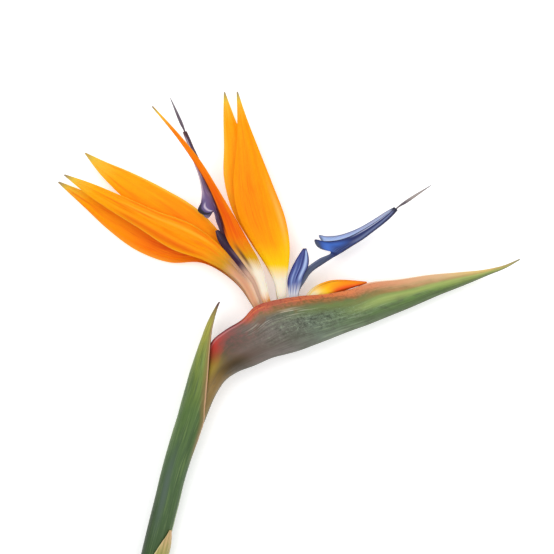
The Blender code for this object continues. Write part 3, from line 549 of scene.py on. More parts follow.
def pocket_section(place, height, half, slit, fold, even):
    """Down the spathe's pocket: shares of the way to the keel, and half its room at each."""
    roof = 0.0 if place >= SLIT_START else 0.12
    depths = roof + (1 - 2.2 / height - roof) * even
    wall = 0.5 + 0.9 * np.minimum(depths / 0.3, 1.0)
    room = spathe_half_width(half, slit, depths, fold) - wall
    room *= np.sqrt(1 - 0.97 * even**8)
    room *= smoothstep(place, POCKET_START - 2, POCKET_START + 3)
    room *= 1 - smoothstep(place, POCKET_END - 30, POCKET_END + 2)
    if place >= SLIT_START:
        lips = smoothstep(place, SLIT_START - 3, SLIT_START + 16)
        room *= lips + (1 - lips) * np.minimum(depths / 0.25, 1.0)
    return depths, np.maximum(room, 0.04)


def add_spathe(material):
    """The boat-shaped bract: outer skin, rolled lips, and the pocket that the slit opens on."""
    table = smooth_rows(SPATHE, SPATHE_ROWS)
    along = length_along((table[:, 0:2] + table[:, 2:4]) / 2)
    even = np.linspace(0.0, 1.0, SPATHE_SIDE + 1)
    shares = 0.6 * (1 - np.cos(math.pi * even)) / 2 + 0.4 * even
    points = []
    paint = {"along_mm": [], "share": [], "inside": [], "far": []}

    def put(x, y, z, *values):
        points.append((x, y, z))
        for label, value in zip(paint, values):
            paint[label].append(float(value))
        return len(points) - 1

    outer = []
    inner = {}
    for i, (ax, ay, kx, ky, half, z, slit, fold) in enumerate(table):
        place = along[i]
        width = spathe_half_width(half, slit, shares, fold)
        relief = spathe_relief(place, shares, fold)
        near, far = [], []
        for share, w, r in zip(shares, width, relief):
            x, y = ax + (kx - ax) * share, ay + (ky - ay) * share
            near.append(put(x, y, z + w + r, place, share, 0, 0))
            if share < 1.0:
                far.append(put(x, y, max(z - w + r * 0.5, 0.0), place, share, 0, 1))
        outer.append(near + far[::-1])
        if not POCKET_START <= place <= POCKET_END:
            continue
        near, far = [], []
        height = math.hypot(kx - ax, ky - ay)
        for share, w in zip(*pocket_section(place, height, half, slit, fold, even)):
            x, y = ax + (kx - ax) * share, ay + (ky - ay) * share
            near.append(put(x, y, z + w, place, share, 1, 0))
            far.append(put(x, y, z - w, place, share, 1, 1))
        inner[i] = near + far[::-1]
    faces = []
    first_open = min(r for r in inner if along[r] >= SLIT_START)
    last = max(inner)
    for r in range(len(outer) - 1):
        a, b = outer[r], outer[r + 1]
        faces += [(a[i], a[i + 1], b[i + 1], b[i]) for i in range(len(a) - 1)]
        if r in inner and r + 1 in inner:
            c, d = inner[r], inner[r + 1]
            faces += [(c[i], d[i], d[i + 1], c[i + 1]) for i in range(len(c) - 1)]
            if r >= first_open:
                faces.append((a[0], b[0], d[0], c[0]))
                faces.append((a[-1], c[-1], d[-1], b[-1]))
                continue
            faces.append((c[-1], d[-1], d[0], c[0]))
        faces.append((a[-1], a[0], b[0], b[-1]))
    a, c = outer[first_open], inner[first_open]
    faces.append((a[0], c[0], c[-1], a[-1]))
    a, c = outer[last], inner[last]
    faces.append((a[0], a[-1], c[-1], c[0]))
    faces.append(tuple(inner[min(inner)]))
    faces.append(tuple(reversed(inner[last])))
    faces.append(tuple(reversed(outer[0])))
    faces.append(tuple(outer[-1]))
    dress("spathe", points, faces, paint, material)


def add_sheath(name, table, rows, wall, ribs, pace, material):
    """A bract that wraps the stem, with its thin margins, and ribs that wander at that pace."""
    table = smooth_rows(table, rows)
    across, up = level_frames(table[:, :3])
    along = length_along(table[:, :3])
    even = np.linspace(0.0, 1.0, SHEATH_COLUMNS + 1)
    turn = 0.5 * even + 0.5 * (1 - np.cos(math.pi * even)) / 2
    outer = np.empty((rows, SHEATH_COLUMNS + 1, 3))
    inner = np.empty_like(outer)
    angle = np.empty(outer.shape[:2])
    for i, (row, level, upright) in enumerate(zip(table, across, up)):
        start, end = np.radians(row[4:])
        a = start + (end - start) * turn
        angle[i] = a
        radius = row[3] + SHEATH_RIB * np.sin(a * ribs + 2 * math.sin(along[i] / pace))
        thin = wall * (0.35 + 0.65 * smoothstep(np.minimum(turn, 1 - turn), 0.0, 0.08))
        for face, r in ((outer, radius), (inner, radius - thin)):
            face[i] = (
                row[:3]
                + np.outer(np.cos(a) * r, level)
                + np.outer(np.sin(a) * r, upright)
            )
    outer[:, :, 2] = np.maximum(outer[:, :, 2], 0.0)
    inner[:, :, 2] = np.maximum(inner[:, :, 2], 0.3)
    points, faces = shell(outer, inner)
    faces = [tuple(reversed(f)) for f in faces]
    along_mm = np.repeat(along[:, None], SHEATH_COLUMNS + 1, axis=1)
    paint = both_faces(
        along=along_mm / along[-1], along_mm=along_mm,
        across=np.repeat(turn[None], rows, axis=0),
        around_mm=angle * SHEATH_RADIUS, from_right=np.cos(angle))
    dress(name, points, faces, paint, material)


# ---------------------------------------------------------------- surfaces

def linear(colour):
    """A screen colour, 0 to 255, or a plain grey level, 0 to 1, as a shader takes it."""
    if isinstance(colour, float):
        return (colour, colour, colour, 1.0)
    shares = [v / 255 for v in colour]
    return (*(v / 12.92 if v <= 0.04045 else ((v + 0.055) / 1.055) ** 2.4 for v in shares), 1.0)


class Value:
    """What varies over a surface: a number or a colour that comes out of one of its nodes."""

    def __init__(self, surface, socket):
        self.surface = surface
        self.socket = socket

    def __add__(self, other):
        return self.surface.math("ADD", self, other)

    def __sub__(self, other):
        return self.surface.math("SUBTRACT", self, other)

    def __rsub__(self, other):
        return self.surface.math("SUBTRACT", other, self)

    def __mul__(self, other):
        return self.surface.math("MULTIPLY", self, other)

    def __truediv__(self, other):
        return self.surface.math("DIVIDE", self, other)

    def __abs__(self):
        return self.surface.math("ABSOLUTE", self)

    def band(self, low, high, end=1.0, start=0.0):
        """start at low, end at high, and smooth between. low may be the greater of the two."""
        inputs = {"Value": self, "From Min": low, "From Max": high, "To Min": start, "To Max": end}
        node = self.surface.node("ShaderNodeMapRange", inputs, interpolation_type="SMOOTHSTEP")
        return Value(self.surface, node.outputs["Result"])

    def stripe(self, centre, width):
        """1 at the centre, 0 a width away."""
        return abs(self - centre).band(0.0, width, end=0.0, start=1.0)

    def ramp(self, stops):
        """A colour read off along the stops, each (place, colour)."""
        node = self.surface.node("ShaderNodeValToRGB", {"Fac": self})
        marks = node.color_ramp.elements
        while len(marks) < len(stops):
            marks.new(0.5)
        for mark, (place, _) in zip(marks, stops):
            mark.position = place
        for mark, (_, colour) in zip(marks, stops):
            mark.color = linear(colour)
        return Value(self.surface, node.outputs["Color"])


class Surface:
    """A procedural surface: layers of colour and relief over a piece's painted coordinates."""

    def __init__(self, name, **sockets):
        self.material = bpy.data.materials.new(name)
        self.material.use_nodes = True
        self.tree = self.material.node_tree
        self.shader = self.tree.nodes["Principled BSDF"]
        for socket, value in sockets.items():
            self.shader.inputs[socket.replace("_", " ")].default_value = value
        self.colour = None
        self.height = None

    def node(self, kind, inputs, **settings):
        """A new node, with its settings, and each input linked to a value or set to a number."""
        node = self.tree.nodes.new(kind)
        for key, value in settings.items():
            setattr(node, key, value)
        for socket, value in inputs.items():
            if isinstance(value, Value):
                self.tree.links.new(value.socket, node.inputs[socket])
            else:
                node.inputs[socket].default_value = value
        return node

    def math(self, operation, *terms):
        """What an arithmetic node makes of its terms."""
        node = self.node("ShaderNodeMath", dict(enumerate(terms)), operation=operation)
        return Value(self, node.outputs[0])

    def read(self, label):
        """A painted coordinate of the piece."""
        node = self.node("ShaderNodeAttribute", {}, attribute_name=label)
        return Value(self, node.outputs["Fac"])

    def noise(self, x, y, z=0.0, detail=3.0, rough=0.55, seed=0.0):
        """Uneven patches, about 1 unit across, averaging 0.5."""
        where = self.node("ShaderNodeCombineXYZ", {"X": x, "Y": y, "Z": z})
        inputs = {"Vector": Value(self, where.outputs[0]), "W": seed, "Scale": 1.0,
                  "Detail": detail, "Roughness": rough}
        node = self.node("ShaderNodeTexNoise", inputs, noise_dimensions="4D")
        return Value(self, node.outputs["Fac"])

    def lay(self, factor, colour):
        """Mixes a colour, plain or varying, over what is there."""
        above = colour if isinstance(colour, Value) else linear(colour)
        node = self.node("ShaderNodeMix", {0: factor, 6: self.colour, 7: above},
                         data_type="RGBA", clamp_factor=True)
        self.colour = Value(self, node.outputs[2])

    def raise_by(self, height):
        """Adds relief, in millimetres."""
        self.height = height if self.height is None else self.height + height

    def finish(self, roughness=None):
        """Links the layers to the shader, and gives the material."""
        if roughness is not None:
            self.tree.links.new(roughness.socket, self.shader.inputs["Roughness"])
        self.tree.links.new(self.colour.socket, self.shader.inputs["Base Color"])
        if self.height is not None:
            inputs = {"Height": self.height, "Distance": MM, "Strength": RELIEF_STRENGTH}
            bump = self.node("ShaderNodeBump", inputs)
            self.tree.links.new(bump.outputs[0], self.shader.inputs["Normal"])
        return self.material


def sepal_surface(name, stops, dark, light, seed, veins, features):
    """A waxy sepal: fine veins along its length, soft pleats, a paler foot and a drying tip."""
    s = Surface(name, Specular_IOR_Level=0.1, Subsurface_Weight=0.2, Subsurface_Scale=0.0015,
                Subsurface_Radius=(1.0, 0.45, 0.1))
    along, across = s.read("along"), s.read("across")
    along_mm, across_mm = s.read("along_mm"), s.read("across_mm")
    fine = s.noise(across * veins, along_mm * 0.05, detail=4.0, seed=seed)
    broad = s.noise(across * 3.2, along_mm * 0.025, detail=2.0, seed=seed + 5)
    cloud = s.noise(across_mm * 0.15, along_mm * 0.06, seed=seed + 9)
    grain = s.noise(across_mm * 2.6, along_mm * 0.8, seed=2.0)
    s.colour = (along + (fine - 0.5) * 0.09).ramp(stops)
    blade = along.band(0.2, 0.34) * along.band(0.97, 0.92)
    s.lay(blade * broad.band(0.5, 0.68, 0.75), dark)
    s.lay(blade * broad.band(0.48, 0.3, 0.55), light)
    s.lay(blade * fine.band(0.52, 0.66, 0.5), dark)
    s.lay(blade * fine.band(0.48, 0.33, 0.5), light)
    s.lay(blade * cloud.band(0.5, 0.3, 0.25), light)
    features(s, along, across, fine)
    s.raise_by(fine * 0.22)
    s.raise_by(grain * 0.05)
    return s.finish(fine.band(0.35, 0.65, 0.54, start=0.4))


def petal_surface(name, outside, inside, streak, pale, seed, features):
    """A petal of the arrow or hood: silky dark and pale streaks, and a paler inner face."""
    s = Surface(name, Specular_IOR_Level=0.3, Sheen_Weight=0.05, Subsurface_Weight=0.06,
                Subsurface_Scale=0.001)
    along, across, under = s.read("along"), s.read("across"), s.read("under")
    along_mm, across_mm = s.read("along_mm"), s.read("across_mm")
    fine = s.noise(across_mm * 2.6, along_mm * 0.07, detail=4.0, seed=seed)
    broad = s.noise(across_mm * 0.8, along_mm * 0.05, detail=2.0, seed=seed + 3)
    s.colour = along.ramp(outside)
    s.lay(under, along.ramp(inside))
    s.lay(broad.band(0.52, 0.7, 0.55), streak)
    s.lay(fine.band(0.51, 0.66, 0.6), streak)
    s.lay(fine.band(0.47, 0.34, 0.55), pale)
    features(s, along, across, under)
    s.raise_by(fine * 0.16)
    return s.finish(fine.band(0.35, 0.65, 0.52, start=0.4))


def stem_surface(name, stops, dark, light, around, pace, seed, features=None, shine=0.35):
    """A fibrous surface: veins along the stem, blotches and scuffs."""
    s = Surface(name, Specular_IOR_Level=shine)
    along, along_mm, turn = s.read("along"), s.read("along_mm"), s.read(around)
    fine = s.noise(turn * pace, along_mm * 0.05, detail=5.0, seed=seed)
    broad = s.noise(turn * (pace * 0.22), along_mm * 0.03, seed=seed + 4)
    scuff = s.noise(turn * (pace * 0.8), along_mm * 0.5, detail=5.0, seed=seed + 8)
    s.colour = along.ramp(stops)
    s.lay(broad.band(0.46, 0.68, 0.7), dark)
    s.lay(fine.band(0.5, 0.64, 0.55), dark)
    s.lay(fine.band(0.48, 0.34, 0.6), light)
    s.lay(scuff.band(0.62, 0.76, 0.4), light)
    if features is not None:
        features(s, along, turn, fine)
    s.raise_by(fine * 0.24)
    return s.finish(scuff.band(0.35, 0.7, 0.56, start=0.42))


# ---------------------------------------------------------------- the pieces

# Screen colours, 0 to 255.
ORANGE = (255, 149, 0)
GOLD = (255, 172, 0)
DEEP_ORANGE = (240, 112, 0)
RED_ORANGE = (226, 88, 4)
YELLOW = (255, 204, 10)
# yellow of rims and drying tips, and also the painted highlight along the edges of the left blades
RIM_YELLOW_AND_HIGHLIGHT = (238, 196, 60)
OLIVE_YELLOW = (206, 160, 24)
CREAM = (246, 234, 214)
FLESH = (226, 182, 150)
DRY_TIP = (176, 160, 90)
TIP_GREY = (150, 140, 125)

# On a blade, along runs from its foot, 0, to its tip, 1, and across from one edge, -1, to the
# other, 1. On a rounded body, turn runs once about it, from 0 to 1. fine is the finest noise.


def left_back_features(s, along, across, fine):
    """A yellow upper rim and tip, and a deeper orange beside the blade in front of it."""
    s.lay(across.band(0.8, 0.97, 0.7) * along.band(0.3, 0.5), RIM_YELLOW_AND_HIGHLIGHT)
    s.lay(across.band(-0.1, -0.7, 0.5) * along.stripe(0.5, 0.4), DEEP_ORANGE)
    s.lay(along.band(0.8, 0.93) * fine.band(0.6, 0.4, 0.7), RIM_YELLOW_AND_HIGHLIGHT)


def left_front_features(s, along, across, fine):
    """Its foot: peach with a brown edge and mauve streaks; a painted highlight on a ridge on its
    upper side, painted shade in a groove on its lower side, painted highlights on its edges.
    """
    ridge = along * -0.5 + 0.75
    reach = along.band(0.3, 0.42) * along.band(0.8, 0.66)
    # painted highlight along the ridge on its upper side
    s.lay(reach * abs(across - ridge).band(0.17, 0.02, 0.6), (255, 180, 50))
    # painted shade along a groove on its lower side
    s.lay(reach * across.stripe(-0.66, 0.34) * 0.6, RED_ORANGE)
    foot = along.band(0.27, 0.17)
    s.lay(foot * across.band(-0.6, -0.95, 0.85), (160, 116, 82))
    s.lay(foot * across.stripe(-0.15, 0.5), (218, 158, 124))
    s.lay(foot * across.band(0.3, 0.75, 0.75), (232, 200, 172))
    # a mauve streak across the foot
    mauve_streak = along.stripe(0.2, 0.09) * across.band(-0.2, 0.6)
    s.lay(mauve_streak * fine.band(0.62, 0.44), (140, 100, 98))
    # painted highlight along both edges
    s.lay(abs(across).band(0.93, 0.99, 0.6) * along.band(0.3, 0.45), RIM_YELLOW_AND_HIGHLIGHT)


def left_low_features(s, along, across, fine):
    """Deepest orange as painted shade beside the blade above it, a paler band of painted light
    along its lower margin, and a painted highlight on that edge.
    """
    reach = along.band(0.24, 0.4) * along.band(0.93, 0.75)
    # painted shade beside the blade above
    s.lay(reach * across.band(0.0, 0.7, 0.65), RED_ORANGE)
    # painted light on the paler band along the lower side
    s.lay(reach * across.band(-0.35, -0.8, 0.75), (255, 176, 56))
    # painted highlight along the lower edge
    s.lay(reach * across.band(-0.93, -0.99, 0.8), RIM_YELLOW_AND_HIGHLIGHT)


def narrow_features(s, along, across, fine):
    """A maroon line beside the arrow, painted shade in deeper orange-red over its middle, and a
    cream claw with a brown streak at its foot.
    """
    line = along.band(0.32, 0.4) * along.band(0.74, 0.6)
    s.lay(line * across.band(-0.7, -0.9), (84, 28, 24))
    # painted shade: deeper orange-red over the middle of the blade
    s.lay(along.stripe(0.45, 0.2) * across.stripe(-0.1, 0.7) * 0.7, (228, 80, 0))
    s.lay(along.band(0.35, 0.6) * across.band(0.55, 0.95, 0.6), GOLD)
    s.lay(along.band(0.3, 0.2) * across.band(-0.3, -0.9, 0.7), FLESH)
    s.lay(along.stripe(0.25, 0.09) * across.stripe(-0.45, 0.35), (116, 76, 44))
    s.lay(along.band(0.09, 0.03) * fine.band(0.66, 0.46), (232, 144, 30))
    s.lay(along.band(0.06, 0.02) * across.band(0.0, 0.7), (236, 140, 20))


def upright_back_features(s, along, across, fine):
    """A yellow left margin towards the tip, and an even orange beside the front blade."""
    s.lay(along.band(0.4, 0.7) * across.band(-0.55, -0.95, 0.6), RIM_YELLOW_AND_HIGHLIGHT)
    s.lay(along.stripe(0.55, 0.3) * across.band(-0.5, 0.3, 0.6), ORANGE)


def upright_front_features(s, along, across, fine):
    """Deeper streaks down its middle, a yellow shoulder and a pale line inside its right edge."""
    middle = along.stripe(0.5, 0.34) * across.stripe(-0.3, 0.75)
    s.lay(middle * 0.7, (255, 138, 0))
    s.lay(middle * fine.band(0.5, 0.64, 0.7), DEEP_ORANGE)
    s.lay(along.stripe(0.4, 0.26) * across.stripe(0.8, 0.2) * 0.45, (255, 208, 110))
    shoulder = along.band(0.16, 0.24) * along.band(0.42, 0.24)
    s.lay(shoulder * across.band(0.1, 0.9, 0.8), (255, 200, 0))


# Each sepal: its table, its colours from foot to tip and where the foot ends, the colours of
# its dark and pale veins, how fine they are, its pleats, where its middle line lies between its
# edges, and its features.
SEPALS = {
    "sepal_left_back": (
        SEPAL_LEFT_BACK, (FLESH, OLIVE_YELLOW, (255, 150, 0), ORANGE, GOLD, 0.2),
        (250, 134, 0), GOLD, 24.0, pleats(0.1, 1.5), 0.5, left_back_features),
    "sepal_left_front": (
        SEPAL_LEFT_FRONT, ((224, 172, 134), (204, 150, 34), (255, 154, 0), ORANGE, GOLD, 0.23),
        DEEP_ORANGE, (255, 170, 8), 24.0, pleats(0.3, 2.5, 0.4), 0.5, left_front_features),
    "sepal_left_low": (
        SEPAL_LEFT_LOW, ((214, 164, 124), (206, 142, 30), (252, 136, 0), (248, 128, 0), GOLD, 0.24),
        RED_ORANGE, GOLD, 24.0, pleats(0.14, 1.5, 1.0), 0.25, left_low_features),
    "sepal_narrow": (
        SEPAL_NARROW, (CREAM, (216, 166, 14), (240, 112, 0), (238, 104, 0), (250, 140, 0), 0.22),
        RED_ORANGE, (255, 142, 0), 12.0, pleats(0.1, 1.0, 0.6), 0.5, narrow_features),
    "sepal_upright_back": (
        SEPAL_UPRIGHT_BACK, (CREAM, YELLOW, (255, 166, 0), (255, 160, 0), GOLD, 0.17),
        ORANGE, (255, 176, 10), 24.0, pleats(0.12, 2.0), 0.5, upright_back_features),
    "sepal_upright_front": (
        SEPAL_UPRIGHT_FRONT,
        (CREAM, (252, 206, 4), (255, 164, 0), (255, 152, 0), (255, 164, 0), 0.17),
        (255, 142, 0), GOLD, 24.0, pleats(0.24, 2.5, 0.8), 0.5, upright_front_features),
}


def add_sepals():
    """The orange blades: three of the left flower, the narrow one, and the two upright."""
    for seed, (name, sepal) in enumerate(SEPALS.items(), 1):
        table, colours, dark, light, veins, relief, keel, features = sepal
        foot, shoulder, base, middle, end, foot_end = colours
        stops = [
            (0.0, foot), (foot_end - 0.05, foot), (foot_end + 0.02, shoulder),
            (foot_end + 0.13, base), (0.55, middle), (0.86, end), (0.955, RIM_YELLOW_AND_HIGHLIGHT),
            (0.985, DRY_TIP), (1.0, TIP_GREY),
        ]
        material = sepal_surface(name, stops, dark, light, float(seed), veins, features)
        add_blade(name, table, material, relief, 20 + seed, keel)


def hood_left_features(s, along, across, under):
    """A paler patch near its tip, dark edges and a flesh-coloured foot."""
    s.lay(along.stripe(0.66, 0.14) * across.stripe(0.2, 0.5), (112, 92, 112))
    s.lay(abs(across).band(0.8, 0.98, 0.8), (30, 12, 34))
    s.lay(along.band(0.6, 0.42), (216, 180, 158))


def hood_right_features(s, along, across, under):
    """Pale where it turns in on the right, dark at both edges, veined blue over its foot."""
    upper = along.band(0.34, 0.5)
    s.lay(upper * across.stripe(0.55, 0.34), (176, 196, 238))
    s.lay(upper * across.stripe(0.12, 0.16), (26, 34, 104))
    s.lay(along.stripe(0.5, 0.3) * across.stripe(-0.45, 0.16), (140, 158, 210))
    s.lay(along.band(0.2, 0.4) * across.band(-0.6, -0.88), (38, 42, 112))
    s.lay(along.band(0.3, 0.5) * across.band(0.8, 0.95), (30, 36, 96))
    s.lay(along.band(0.4, 0.16) * 0.75, (222, 220, 226))
    for vein in (-0.55, -0.1, 0.4):
        s.lay(along.stripe(0.27, 0.16) * across.stripe(vein, 0.12), (84, 96, 156))
    s.lay(along.band(0.94, 1.0), (34, 32, 84))


def arrow_left_features(s, along, across, under):
    """Lilac with a whitish upper rim, maroon along its keel, violet and dark at the hook with a
    painted highlight on it.
    """
    s.lay(along.band(0.64, 0.7) * across.band(-0.62, -0.9, 0.85), (216, 204, 218))
    barb = along.band(0.56, 0.6) * along.band(0.76, 0.63)
    s.lay(barb * across.band(-0.3, -0.7, 0.6), (94, 78, 138))
    s.lay(along.band(0.3, 0.4) * across.stripe(-0.06, 0.42), (54, 16, 28))
    hook = along.band(0.58, 0.6) * along.band(0.68, 0.62)
    s.lay(hook * across.band(-0.8, -0.9), (24, 16, 36))
    # painted highlight across the hook
    gleam = hook * along.band(0.65, 0.63) * across.stripe(-0.72, 0.07)
    s.lay(gleam * 0.7, (226, 216, 234))
    s.lay(along.band(0.72, 0.8) * across.stripe(-0.5, 0.12), (206, 206, 226))
    s.lay(along.band(0.95, 0.99) * 0.9, (74, 40, 40))
    s.lay(along.band(0.32, 0.24), (228, 190, 164))


def arrow_right_features(s, along, across, under):
    """A painted highlight by the barb, painted shade in navy under the rim, a slate strip over the
    keel, grey far rims.
    """
    side = abs(across)
    outside = 1.0 - under
    head = outside * along.band(0.44, 0.46)
    # painted shade: navy under the near wing's rim
    s.lay(head * across.band(-0.4, -0.7, 0.8), (24, 36, 96))
    # painted highlight: bright blue by the barb
    s.lay(head * along.band(0.68, 0.54) * across.stripe(-0.7, 0.28) * 0.95, (62, 108, 200))
    s.lay(head * along.band(0.5, 0.465, 0.85), (20, 32, 88))
    s.lay(head * along.band(0.58, 0.68) * across.stripe(-0.44, 0.2), (104, 116, 156))
    s.lay(outside * along.band(0.46, 0.56) * across.stripe(-0.1, 0.32), (20, 26, 72))
    s.lay(along.band(0.44, 0.36) * across.band(-0.5, -0.9, 0.5), (112, 124, 150))
    s.lay(outside * along.band(0.44, 0.47) * side.band(0.93, 0.985), (16, 22, 70))
    s.lay(along.band(0.44, 0.46) * along.band(0.53, 0.5) * side.band(0.82, 0.94), (70, 78, 100))
    s.lay(under * side.stripe(0.66, 0.32), (198, 218, 250))
    s.lay(under * along.band(0.45, 0.5) * side.band(0.9, 0.985), (116, 126, 154))
    s.lay(along.band(0.66, 0.8) * side.stripe(0.86, 0.1), (176, 182, 210))
    s.lay(along.band(0.955, 0.99), (18, 20, 52))


def add_petals():
    """The hooded petals, and the fused pairs that make the arrows."""
    hood_left = petal_surface(
        "hood_left",
        [(0.0, (190, 160, 150)), (0.25, (110, 78, 96)), (0.5, (58, 26, 62)), (1.0, (44, 20, 46))],
        [(0.0, (120, 100, 110)), (1.0, (70, 40, 80))],
        (40, 16, 44), (96, 66, 104), 1.0, hood_left_features)
    hood_right = petal_surface(
        "hood_right",
        [(0.0, (226, 216, 206)), (0.16, (190, 190, 206)), (0.4, (88, 104, 160)),
         (0.7, (58, 76, 144)), (1.0, (46, 54, 120))],
        [(0.0, (215, 205, 200)), (1.0, (120, 130, 200))],
        (60, 68, 156), (136, 156, 222), 2.0, hood_right_features)
    arrow_left = petal_surface(
        "arrow_left",
        [(0.0, (190, 160, 130)), (0.2, (120, 70, 60)), (0.45, (74, 30, 40)),
         (0.58, (76, 50, 92)), (0.67, (132, 112, 146)), (0.8, (122, 118, 154)),
         (0.93, (84, 80, 116)), (1.0, (66, 40, 46))],
        [(0.0, (180, 150, 130)), (0.5, (80, 44, 58)), (0.62, (140, 126, 160)),
         (1.0, (150, 140, 170))],
        (74, 54, 96), (180, 166, 188), 3.0, arrow_left_features)
    arrow_right = petal_surface(
        "arrow_right",
        [(0.0, (200, 190, 180)), (0.12, (92, 102, 126)), (0.4, (62, 72, 98)),
         (0.46, (38, 58, 118)), (0.8, (52, 64, 116)), (0.94, (34, 40, 86)), (1.0, (16, 18, 48))],
        [(0.0, (200, 205, 220)), (0.5, (158, 184, 236)), (0.75, (160, 176, 224)),
         (0.9, (170, 176, 206)), (1.0, (70, 76, 120))],
        (34, 42, 92), (98, 118, 168), 4.0, arrow_right_features)
    add_blade("hood_petal_left", HOOD_PETAL_LEFT, hood_left,
              pleats(0.08, 1.0), 31, thick=0.8, thin=0.25)
    add_blade("hood_petal_right", HOOD_PETAL_RIGHT, hood_right,
              pleats(0.35, 1.0, 0.5), 32, thick=0.8, thin=0.25)
    add_arrow("arrow_petals_left", ARROW_LEFT, arrow_left)
    add_arrow("arrow_petals_right", ARROW_RIGHT, arrow_right)


def bud_features(s, along, turn, fine):
    """Red-orange under its lower side, with the dark seams of the folded sepals."""
    low = abs(turn - 0.5).band(0.2, 0.34)
    s.lay(along.band(0.74, 0.83) * low, (242, 84, 12))
    s.lay(along.band(0.74, 0.66) * fine.band(0.62, 0.42, 0.8), CREAM)
    for seam in (0.12, 0.4, 0.68):
        s.lay(along.band(0.68, 0.8) * turn.stripe(seam, 0.02), (190, 90, 20))


def add_centres():
    """The styles, the ovaries that the petals stand on, and the bud that has yet to open."""
    for side, table, stigma, dark, light in (
        ("left", ARROW_LEFT, STIGMA_LEFT, (70, 58, 74), (98, 86, 100)),
        ("right", ARROW_RIGHT, STIGMA_RIGHT, (92, 82, 90), (158, 146, 142)),
    ):
        style = stem_surface(
            "style_" + side,
            [(0.0, (190, 170, 150)), (0.83, dark), (0.88, light), (0.95, light), (1.0, dark)],
            dark, (176, 164, 158), "across", 7.0, 1.0)
        add_style("style_" + side, table, stigma, style)
    ovary = stem_surface(
        "ovary",
        [(0.0, (150, 140, 90)), (0.6, (206, 160, 130)), (0.85, FLESH), (1.0, (232, 200, 160))],
        (176, 110, 90), CREAM, "across", 14.0, 2.0)
    bud = stem_surface(
        "bud",
        [(0.0, (225, 215, 190)), (0.6, (244, 234, 210)), (0.68, (252, 226, 120)),
         (0.76, YELLOW), (0.86, ORANGE), (0.95, (244, 120, 20)), (1.0, (214, 104, 40))],
        (246, 140, 0), (255, 214, 60), "across", 9.0, 3.0, bud_features, shine=0.2)
    add_body("ovary_left", OVARY_LEFT, 70, 40, ovary, top=OVARY_LEFT_TOP)
    add_body("ovary_right", OVARY_RIGHT, 70, 40, ovary, top=OVARY_RIGHT_TOP)
    add_body("bud_emerging", BUD, 110, 36, bud, folds=0.03)


def spathe_ground(s, place, share, part, fine, broad, cloud):
    """Its ground colour from neck to tip, blotched, with fibres beyond the bend."""
    s.colour = part.ramp([
        (0.0, (128, 116, 62)), (0.15, (142, 112, 58)), (0.21, (104, 80, 34)),
        (0.27, (100, 80, 70)), (0.36, (108, 100, 92)), (0.46, (104, 118, 98)),
        (0.58, (98, 124, 78)), (0.75, (102, 136, 62)), (0.92, (150, 164, 80)),
        (0.965, (206, 182, 96)), (1.0, (136, 118, 92)),
    ])
    s.lay(broad.band(0.48, 0.7, 0.5), (74, 76, 60))
    s.lay(cloud.band(0.5, 0.72, 0.5), (84, 80, 72))
    s.lay(place.band(54.0, 78.0, start=0.25) * fine.band(0.5, 0.64, 0.4), (70, 68, 54))
    s.lay(place.band(66.0, 112.0, start=0.12) * fine.band(0.47, 0.34, 0.4), (160, 172, 136))


def spathe_wear(s, place, share, scuffed, fine, fleck, crack, cloud):
    """Grey flecks and cracks where it is scuffed, pale scratches, and the colours of its bend."""
    s.lay(scuffed * fleck.band(0.53, 0.62, 0.6), (148, 164, 138))
    s.lay(scuffed * fleck.band(0.47, 0.4, 0.75), (56, 60, 48))
    s.lay(scuffed * crack.stripe(0.5, 0.02), (40, 44, 36))
    s.lay(scuffed * crack.band(0.64, 0.72, 0.6), (190, 206, 182))
    scratch = place.stripe(92.0, 26.0) * share.stripe(0.27, 0.13)
    s.lay(scratch * fine.band(0.5, 0.42), (214, 208, 190))
    s.lay(scratch * cloud.band(0.52, 0.6, 0.7), (122, 86, 56))
    speckle = place.stripe(66.0, 22.0) * share.band(0.7, 0.1)
    s.lay(speckle * fleck.band(0.44, 0.6, 0.5), (150, 84, 84))
    s.lay(place.stripe(44.0, 12.0) * share.stripe(0.3, 0.3), (156, 132, 48))
    s.lay(place.stripe(52.0, 12.0) * share.band(0.45, 0.75), (66, 50, 24))


def spathe_greens(s, place, drift):
    """Bands along its far half: tan, then pale green, then dark green to the keel."""
    right = place.band(112.0, 150.0)
    s.lay(right * drift.stripe(0.33, 0.12), (150, 122, 70))
    s.lay(right * 0.75 * drift.stripe(0.5, 0.2), (168, 184, 100))
    s.lay(right * drift.band(0.66, 0.9, 0.75), (66, 90, 40))
    s.lay(place.stripe(118.0, 34.0) * drift.stripe(0.3, 0.18) * 0.8, (112, 130, 66))


